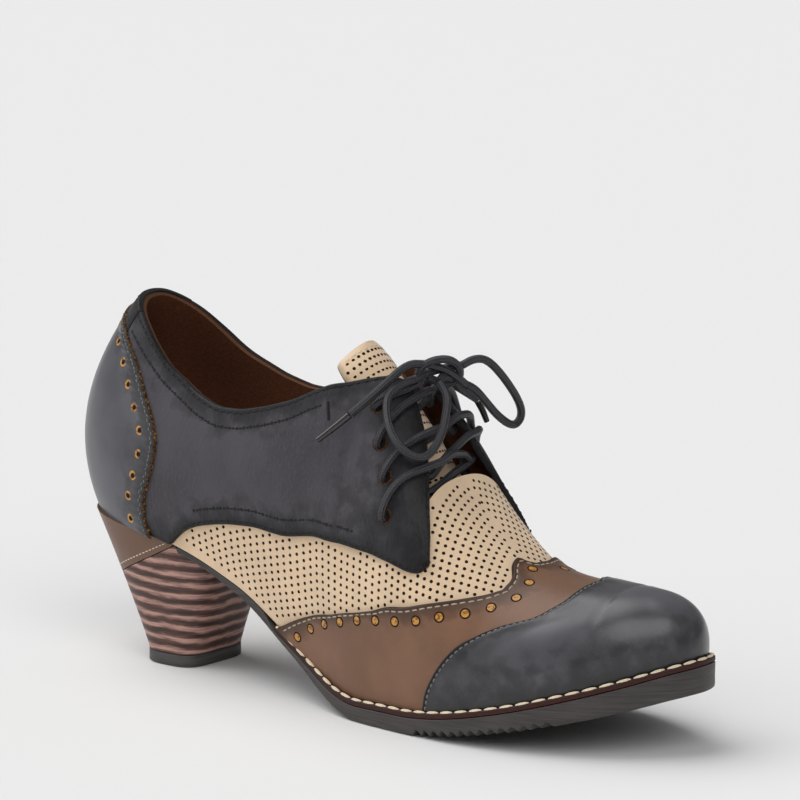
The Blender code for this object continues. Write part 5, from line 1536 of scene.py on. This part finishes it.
def make_insole():
    """The suede footbed inside the upper."""
    points = outline(lambda along: np.full_like(along, -UPPER_WALL - 2 * GAP))
    low_x, high_x = points[:, 0].min() + 0.0001, points[:, 0].max() - 0.0001
    x = low_x + (high_x - low_x) * (1 - np.cos(np.linspace(0, math.pi, 150))) / 2
    (left, a), (right, b) = sides_at(points, x)
    rings = []
    for number in range(len(x)):
        across = np.linspace(0, 1, 9)
        ys = left[number] + (right[number] - left[number]) * across
        shares = a[number] + (b[number] - a[number]) * across
        low = sole_top(shares) + GAP
        high = feather(shares) + INSOLE_THICKNESS - 0.0012 * (1 - (2 * across - 1) ** 2)
        ring = [*zip(ys, low), *zip(ys[::-1], high[::-1])]
        rings.append([(x[number], y, z) for y, z in ring])
    obj = closed_loft("insole_suede", np.array(rings) + SHIFT, [finish("lining")])
    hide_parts("insole")


def welt_lines():
    """Places round the welt, and its inner and outer outline there."""
    outer, inner = outline(ledge), outline(lambda along: np.full_like(along, -UPPER_WALL))
    start, end = place(WELT_START), place(WELT_START, lateral=False)
    chosen = np.arange(int(round(float(start) * 2)), int(round(float(end) * 2)) + 1) % len(outer)
    return inner[chosen], outer[chosen]


def make_welt():
    """The welt's thin band on the sole, with its reddish line and a row of thick cream stitches."""
    inner, outer = welt_lines()
    rings = []
    for low_line, high_line in zip(inner, outer):
        ring = []
        for share, lifted in ((0, 0), (0.97, 0), (1.0, 0.12), (1.0, 0.45), (0.99, 0.8), (0.93, 1.0), (0, 1.0)):
            x, y, source = low_line + (high_line - low_line) * share
            along = level_share(x / LAST_LENGTH, source)
            ring.append((x, y, feather(along) - GAP - WELT_THICKNESS * (1 - lifted)))
        rings.append(ring)
    slots = [0, 1, 0, 0, 0, 0, 0]
    obj = closed_loft("welt_band", np.array(rings) + SHIFT, [finish("welt"), finish("welt line")], slots=slots)
    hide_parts("welt")
    line = inner + (outer - inner) * 0.84
    along = level_share(line[:, 0] / LAST_LENGTH, line[:, 2])
    points = np.stack((line[:, 0], line[:, 1], feather(along) - GAP), axis=1) + SHIFT
    away = unit(np.concatenate((outer[:, :2] - inner[:, :2], np.zeros((len(outer), 1))), axis=1))
    out = unit(away * 0.5 + np.array((0.0, 0.0, 1.0)))
    forms = bpy.context.scene.shoe_forms
    row = stitch_row("welt_stitches", points, out, forms.welt_stitch, forms.welt_stitch * 0.93, 0.00064,
                     finish("cream thread"), sink=0.55)


HEEL_POINTS = 128


def heel_point(angle, share, z):
    """Points of the heel's side: round behind and nearly flat in front."""
    ease = share ** 1.08
    x = HEEL_TIP_PLACE + (HEEL_SEAT_PLACE - HEEL_TIP_PLACE) * ease
    length = HEEL_TIP_LENGTH + (HEEL_SEAT_LENGTH - HEEL_TIP_LENGTH) * ease
    width = HEEL_TIP_WIDTH + (HEEL_SEAT_WIDTH - HEEL_TIP_WIDTH) * ease
    c, s = np.cos(angle), np.sin(angle)
    power = np.where(c > 0, 2 / 4.0, 2 / 2.4)
    forward = np.sign(c) * np.abs(c) ** power * length / 2
    sideways = np.sign(s) * np.abs(s) ** power * width / 2
    return np.stack((x + forward, sideways, np.broadcast_to(z, np.shape(c))), axis=-1)


def seat_height(x):
    """Height of the heel's seat: under the insole behind, and under the outsole where it passes over."""
    along = x / LAST_LENGTH
    step = OUTSOLE_BACK - GAP / LAST_LENGTH
    return np.where(along < step, feather(np.maximum(along, 0.0)), sole_low(along)) - GAP


def slope_height(x, drop):
    """Height of the sloping line where the heel's cover ends."""
    return HEEL_COVER_HEIGHT - drop + HEEL_COVER_SLOPE * x


HEEL_FLARE = 1.25
HEEL_STITCHES = 0.036
HEEL_TOP = HEEL_LIFT + 0.3 * HEEL_LIFT
HEEL_BASE = HEEL_TIP_HEIGHT + GAP


def heel_side(angle, share):
    """Points of the heel's side at a share of the block's height."""
    return heel_point(angle, HEEL_FLARE * share, HEEL_BASE + (HEEL_TOP - HEEL_BASE) * share)


def heel_reach(angle, limit):
    """How far up each line of the heel's side goes before it meets a limit, as a share of the block."""
    low, high = np.zeros_like(angle), np.ones_like(angle)
    for _ in range(40):
        middle = (low + high) / 2
        point = heel_side(angle, middle)
        below = point[:, 2] < limit(point[:, 0])
        low, high = np.where(below, middle, low), np.where(below, high, middle)
    return low


def heel_block(name, low, high, rows, materials):
    """A piece of the heel between two shares of its side."""
    angle = np.linspace(0, 2 * math.pi, HEEL_POINTS, endpoint=False)
    rings = np.array([heel_side(angle, low + (high - low) * t) for t in np.linspace(0, 1, rows)])
    return closed_loft(name, rings + SHIFT, materials, sharp=38)


def make_heel():
    """The stacked heel with its stitched leather cover and its rubber tip."""
    angle = np.linspace(0, 2 * math.pi, HEEL_POINTS, endpoint=False)
    seat = heel_reach(angle, seat_height)
    slope = np.minimum(heel_reach(angle, lambda x: slope_height(x, GAP)), seat)
    cover_low = np.minimum(heel_reach(angle, lambda x: slope_height(x, 0.0)), seat)
    stack = heel_block("heel_layers", np.zeros_like(slope), slope, 30, [finish("heel layers")])
    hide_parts("heel_stack")
    covered = seat - cover_low > 1e-4
    first = np.argmax(covered & ~np.roll(covered, 1))
    order = np.roll(np.arange(HEEL_POINTS), -first)[:covered.sum()]
    rings = np.array([heel_side(angle[order], (cover_low + (seat - cover_low) * t)[order])
                      for t in np.linspace(0, 1, 18)])
    cover = closed_loft("heel_cover_leather", rings + SHIFT, [finish("heel leather")])
    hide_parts("heel_cover")
    line = heel_side(angle[order], cover_low[order] + HEEL_STITCHES) + SHIFT
    out = unit(line - line.mean(axis=0))
    out[:, 2] = -0.2
    row = stitch_row("heel_cover_stitches", line, unit(out), 0.0019, 0.00135, 0.00021, finish("cream thread"),
                     sink=0.4)
    levels = ((0.0, 0.0004), (0.0004, 0.0), (HEEL_TIP_HEIGHT - 0.0003, 0.0), (HEEL_TIP_HEIGHT, 0.0002))
    rings = []
    for z, inset in levels:
        ring = heel_point(angle, np.zeros_like(angle), z)
        middle = np.array((HEEL_TIP_PLACE, 0.0, z))
        rings.append(middle + (ring - middle) * (1 - inset / HEEL_TIP_LENGTH * 2))
    tip = closed_loft("heel_tip_rubber", np.array(rings) + SHIFT, [finish("rubber")], sharp=60)
    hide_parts("heel_tip")


def rounded(points, times=2):
    """The same line with its corners cut, keeping its ends."""
    for _ in range(times):
        cut_line = [points[0]]
        for a, b in zip(points, points[1:]):
            cut_line += [a * 0.75 + b * 0.25, a * 0.25 + b * 0.75]
        points = cut_line + [points[-1]]
    return points


def evened(points, step):
    """The same line with points an even step apart."""
    points = np.array([tuple(point) for point in points])
    far = distances(points)
    at = np.linspace(0, far[-1], max(4, int(far[-1] / step)))
    return np.stack([np.interp(at, far, points[:, k]) for k in range(3)], axis=1)


def last_point(g, v):
    return Vector(on_last(float(g), float(v)))


def last_normal(g, v):
    return Vector(out_of_last(float(g), float(v)))


def over_surface(lateral, along, girth, target, out):
    """Points from an eyelet to its facing's edge along the last's surface, heading for a target."""
    g = float(place(along, lateral))
    step = 0.002
    track = []
    for _ in range(16):
        here = last_point(g, girth)
        normal = last_normal(g, girth)
        heading = target - here
        heading = (heading - normal * heading.dot(normal)).normalized()
        track.append((here + normal * out, normal, heading))
        if girth > min(float(collar_and_facing(along_of(g))) + 0.045, 0.985) or (target - here).length < 0.009:
            break
        du = last_point(g + 0.5, girth) - last_point(g - 0.5, girth)
        dv = (last_point(g, girth + 0.005) - last_point(g, girth - 0.005)) * 100
        a, b, c = du.dot(du), du.dot(dv), dv.dot(dv)
        p, q = heading.dot(du) * step, heading.dot(dv) * step
        g += (p * c - q * b) / (a * c - b * b)
        girth += (q * a - p * b) / (a * c - b * b)
    return track


def clear_of_tongue(point, clearance):
    """The point, or where it must be lifted to so that it stays this far over the tongue."""
    along, half = point.x / LAST_LENGTH, TONGUE_HALF_WIDTH
    for _ in range(6):
        width = half * float(tongue_width(along))
        base = Vector(on_tongue(along, max(-1.0, min(1.0, point.y / width))))
        slope = Vector(tongue_frame(np.asarray(along))[0])
        along += (point - base).dot(slope) / slope.x / LAST_LENGTH * 0.7
    if abs(point.y) > half * float(tongue_width(along)) + clearance:
        return point
    up = Vector((-slope.z, 0, slope.x))
    return point + up * max(clearance - (point - base).dot(up), 0.0)


def lace_run(first, second, own_out, far_out, rise_by):
    """The lace from one eyelet to another: over (or under) each facing, and across between them."""
    start = last_point(place(first[1], first[0]), first[2])
    end = last_point(place(second[1], second[0]), second[2])
    ahead = over_surface(*first, end, own_out)
    behind = over_surface(*second, start, far_out)
    a, b = ahead[-1][0], behind[-1][0]
    middle = [a.lerp(b, share) + Vector((rise_by * 0.3, 0, rise_by)) for share in (0.25, 0.5, 0.75)]
    middle = [clear_of_tongue(point, LACE / 2 + 3 * GAP + rise_by) for point in middle]
    return ahead, middle, behind[::-1]


def through_eyelet(point, normal, arriving, leaving):
    """Points that take the lace up through an eyelet, from under the leather to over it."""
    back = (arriving + leaving) * 0.00045
    return [
        point + normal * LACE_UNDER + arriving * 0.0014,
        point - normal * 0.0014 - back,
        point + normal * 0.0010 - back * 1.2,
        point + normal * 0.0032 - back,
        point + normal * LACE_OVER + leaving * 0.0014,
    ]


def lace_line(first_side):
    """One zigzag of the lace: from the lowest eyelet of one side up to the top eyelet."""
    under, over = LACE_UNDER, LACE_OVER
    eyelets = [(n % 2 == 1 if first_side else n % 2 == 0, *EYELETS[n]) for n in (3, 2, 1, 0)]
    lifts = [LOW_CROSSING_LIFT, *[CROSSING_LIFT if eyelet[0] else 0.0 for eyelet in eyelets[1:]]]
    runs = [lace_run(a, b, over, under, up) for a, b, up in zip(eyelets, eyelets[1:], lifts)]
    bar = lace_run(eyelets[0], (not eyelets[0][0], *EYELETS[3]), under, under, 0.0)
    points = [step[0] for step in bar[0]] + [bar[1][0], bar[1][1]]
    points.reverse()
    arriving = bar[0][0][2]
    for number, eyelet in enumerate(eyelets):
        g = place(eyelet[1], eyelet[0])
        point, normal = last_point(g, eyelet[2]), last_normal(g, eyelet[2])
        aim = Vector(KNOT[0 if eyelet[0] else -1])
        if number < len(runs):
            leaving = runs[number][0][0][2]
        else:
            leaving = ((aim - point) - normal * (aim - point).dot(normal)).normalized()
        points = points[:-2] + through_eyelet(point, normal, arriving, leaving)
        if number < len(runs):
            ahead, middle, behind = runs[number]
            points += [step[0] for step in ahead[2:]] + middle + [step[0] for step in behind]
            arriving = behind[-1][2]
    points += [step[0] for step in over_surface(*eyelets[-1], aim, over)[2:]]
    points.append(aim)
    return points


CORD_STEP = 0.0006
KNOT_STEP = 0.0004
CROSSING_STEP = 0.0007


def free_path(points, step=CORD_STEP):
    line = evened(rounded([Vector(point) for point in points], 3), step)
    return line + SHIFT


def free_lace(name, points, nodes):
    """One free stretch of lace, as a tube."""
    path = free_path(points)
    obj = tube_object(name, [path], [LACE / 2], finish("lace"))
    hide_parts(*nodes)
    return obj


KNOT_WRAP = (
    (0.1438, -0.0058, 0.1140), (0.1436, -0.0076, 0.1178),
    (0.1456, -0.0076, 0.1222), (0.1492, -0.0046, 0.1246),
    (0.1520, 0.0002, 0.1244), (0.1532, 0.0042, 0.1212), (0.1520, 0.0060, 0.1170), (0.1490, 0.0046, 0.1146),
    (0.1462, 0.0004, 0.1158), (0.1452, -0.0044, 0.1180),
)


def knot_paths():
    """The bow's knot: one strand wrapped over three that join the loops and the ends."""
    strands = (
        KNOT_WRAP,
        (LOOP_FRONT[0], (0.1502, -0.0020, 0.1186), (0.1496, 0.0030, 0.1172), (0.1490, 0.0070, 0.1145), END_BACK[0]),
        (LOOP_FRONT[-1], (0.1450, -0.0060, 0.1190), (0.1478, -0.0015, 0.1204), (0.1505, 0.0030, 0.1211), LOOP_BACK[0]),
        (END_FRONT[0], (0.1478, -0.0044, 0.1224), (0.1508, 0.0005, 0.1202), (0.1522, 0.0052, 0.1168), LOOP_BACK[-1]),
    )
    return [free_path(points, KNOT_STEP) for points in strands]


def make_laces():
    """The crossings through the eyelets, the knot, the bow's loops and the ends with their aglets."""
    paths = []
    for first_side in (True, False):
        line = [clear_of_tongue(point, LACE / 2 + 3 * GAP) for point in rounded(lace_line(first_side))]
        smooth = evened(rounded(line, 2), CROSSING_STEP)
        paths.append(smooth + SHIFT)
    bars = tube_object("lace_crossings", paths, [LACE / 2, LACE / 2], finish("lace"))
    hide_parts("lace_bars")
    knot = tube_object("lace_bow_knot", knot_paths(), [LACE / 2] * 4, finish("lace"))
    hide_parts("lace_knot")
    for label, points in (("front", AGLET_FRONT), ("back", AGLET_BACK)):
        path = free_path(points)
        share = np.linspace(0, 1, len(path))
        obj = tube_object(f"lace_aglet_{label}", [path], [AGLET / 2 * (0.92 - 0.22 * share)], finish("aglet"))
        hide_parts(f"aglet_{label}")
    tail_path = free_path(END_BACK)
    tail = tube_object("lace_tail_back", [tail_path], [LACE / 2], finish("lace"))
    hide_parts("lace_end_back")
    free_lace("lace_bow_front", LOOP_FRONT, ["lace_loop_front"])
    free_lace("lace_bow_back", LOOP_BACK, ["lace_loop_back"])
    free_lace("lace_tail_front", END_FRONT, ["lace_end_front"])


AMBIENT = 0.21
LIGHT_BOXES = (
    # direction, cosine where the glow starts, cosine where it is full, strength
    ((-0.55, -0.10, 1.0), 0.80, 0.93, 2.5),
    ((-0.9, -0.9, 0.55), 0.90, 0.97, 1.3),
    ((0.75, -0.60, 0.95), 0.88, 0.97, 2.3),
)


def world_light():
    """Soft studio light from above, with a broad pale box high at the back left."""
    world = bpy.data.worlds.new("Studio")
    world.use_nodes = True
    tree = world.node_tree
    tree.nodes.clear()
    w = Wiring(tree)
    output = w.node("ShaderNodeOutputWorld")
    background = w.node("ShaderNodeBackground")
    w.put(output.inputs["Surface"], background.outputs[0])
    way = w.node("ShaderNodeTexCoord").outputs["Generated"]
    total = None
    for direction, low, high, strength in LIGHT_BOXES:
        toward = Vector(direction).normalized()
        dot = w.node("ShaderNodeVectorMath", {0: way, 1: tuple(toward)}, operation="DOT_PRODUCT").outputs["Value"]
        glow = w.between(dot, low, high, 0.0, strength)
        total = glow if total is None else w.math("ADD", total, glow)
    total = w.math("ADD", total, AMBIENT)
    w.put(background.inputs["Strength"], total)
    background.inputs["Color"].default_value = (1.0, 1.0, 1.0, 1.0)
    bpy.context.scene.world = world


def make_stage():
    """The floor, the light and the camera at the photograph's angle."""
    bm = bmesh.new()
    bmesh.ops.create_grid(bm, x_segments=2, y_segments=2, size=9.0)
    mesh = bpy.data.meshes.new("floor")
    bm.to_mesh(mesh)
    bm.free()
    floor = bpy.data.objects.new("floor", mesh)
    bpy.context.scene.collection.objects.link(floor)
    material, w, shader = new_material("pale floor")
    looks = bpy.context.scene.shoe_looks
    place_of = w.node("ShaderNodeTexCoord").outputs["Object"]
    cloud = w.node("ShaderNodeTexNoise", {"Vector": place_of, "Scale": 1.2}).outputs["Fac"]
    colour = w.mix(w.math("MULTIPLY", cloud, 0.02), tuple(looks.floor), (0.70, 0.70, 0.70))
    w.put(shader.inputs["Base Color"], colour)
    shader.inputs["Roughness"].default_value = 0.9
    shader.inputs["Specular IOR Level"].default_value = 0.1
    mesh.materials.append(material)
    world_light()
    camera_data = bpy.data.cameras.new("Camera")
    camera_data.lens = CAMERA_LENS
    camera_data.sensor_width = CAMERA_SENSOR
    camera_data.clip_start = 0.05
    camera_data.clip_end = 60.0
    camera = bpy.data.objects.new("Camera", camera_data)
    bpy.context.scene.collection.objects.link(camera)
    a, e = math.radians(CAMERA_AZIMUTH), math.radians(CAMERA_ELEVATION)
    back = Vector((math.sin(a) * math.cos(e), -math.cos(a) * math.cos(e), math.sin(e)))
    camera.location = Vector(CAMERA_TARGET) + Vector(SHIFT) + back * CAMERA_DISTANCE
    turn = (-back).to_track_quat("-Z", "Y").to_matrix().to_4x4()
    camera.rotation_euler = turn.to_euler()
    camera.rotation_euler.rotate_axis("Z", math.radians(CAMERA_ROLL))
    bpy.context.scene.camera = camera
    bpy.context.scene.view_settings.view_transform = "Standard"


class SHOE_OT_stage(bpy.types.Operator):
    """Make the floor, the light and the camera"""

    bl_idname = "shoe.stage"
    bl_label = "Stage"

    def execute(self, context):
        make_stage()
        return {"FINISHED"}


class SHOE_OT_laces(bpy.types.Operator):
    """Make the laces, their bow and their aglets"""

    bl_idname = "shoe.laces"
    bl_label = "Laces"

    def execute(self, context):
        make_laces()
        return {"FINISHED"}


class SHOE_OT_upper(bpy.types.Operator):
    """Make the hollow upper and the perforations of its tan leather"""

    bl_idname = "shoe.upper"
    bl_label = "Upper"

    def execute(self, context):
        make_upper()
        make_vamp_holes()
        return {"FINISHED"}


class SHOE_OT_tongue(bpy.types.Operator):
    """Make the perforated tongue"""

    bl_idname = "shoe.tongue"
    bl_label = "Tongue"

    def execute(self, context):
        make_tongue()
        return {"FINISHED"}


class SHOE_OT_quarters(bpy.types.Operator):
    """Make both quarters with their facings, eyelets and stitches"""

    bl_idname = "shoe.quarters"
    bl_label = "Quarters"

    def execute(self, context):
        for name, lateral in SIDES:
            make_quarter(f"quarter_{name}", lateral)
        return {"FINISHED"}


class SHOE_OT_counter(bpy.types.Operator):
    """Make the counter and the collar tab above it"""

    bl_idname = "shoe.counter"
    bl_label = "Counter"

    def execute(self, context):
        make_counter()
        make_collar_tab()
        return {"FINISHED"}


class SHOE_OT_wing(bpy.types.Operator):
    """Make the wing overlay with its holes and stitches"""

    bl_idname = "shoe.wing"
    bl_label = "Wing"

    def execute(self, context):
        make_wing()
        return {"FINISHED"}


class SHOE_OT_toe_cap(bpy.types.Operator):
    """Make the burnished toe cap"""

    bl_idname = "shoe.toe_cap"
    bl_label = "Toe Cap"

    def execute(self, context):
        make_toe_cap()
        return {"FINISHED"}


class SHOE_OT_sole(bpy.types.Operator):
    """Make the outsole, the insole and the stitched welt"""

    bl_idname = "shoe.sole"
    bl_label = "Sole and Welt"

    def execute(self, context):
        make_outsole()
        make_insole()
        make_welt()
        return {"FINISHED"}


class SHOE_OT_heel(bpy.types.Operator):
    """Make the layered heel, its cover and its rubber tip"""

    bl_idname = "shoe.heel"
    bl_label = "Heel"

    def execute(self, context):
        make_heel()
        return {"FINISHED"}


OPERATORS = (SHOE_OT_stage, SHOE_OT_laces, SHOE_OT_upper, SHOE_OT_tongue, SHOE_OT_quarters, SHOE_OT_counter,
             SHOE_OT_wing, SHOE_OT_toe_cap, SHOE_OT_sole, SHOE_OT_heel)


class SHOE_PT_panel(bpy.types.Panel):
    """Lists the shoe's sizes, colours and makers"""

    bl_idname = "SHOE_PT_panel"
    bl_label = "Heeled Shoe"
    bl_space_type = "VIEW_3D"
    bl_region_type = "UI"
    bl_category = "Shoe"

    def draw(self, context):
        for group in (context.scene.shoe_forms, context.scene.shoe_looks):
            for name in group.__annotations__:
                self.layout.prop(group, name)
        for operator in OPERATORS:
            self.layout.operator(operator.bl_idname)


CLASSES = (ShoeForms, ShoeLooks, *OPERATORS, SHOE_PT_panel)


def register():
    for each in CLASSES:
        bpy.utils.register_class(each)
    bpy.types.Scene.shoe_forms = bpy.props.PointerProperty(type=ShoeForms)
    bpy.types.Scene.shoe_looks = bpy.props.PointerProperty(type=ShoeLooks)


def unregister():
    del bpy.types.Scene.shoe_looks
    del bpy.types.Scene.shoe_forms
    for each in reversed(CLASSES):
        bpy.utils.unregister_class(each)


def main():
    register()
    for operator in OPERATORS:
        group, name = operator.bl_idname.split(".")
        getattr(getattr(bpy.ops, group), name)()


if __name__ == "__main__":
    main()
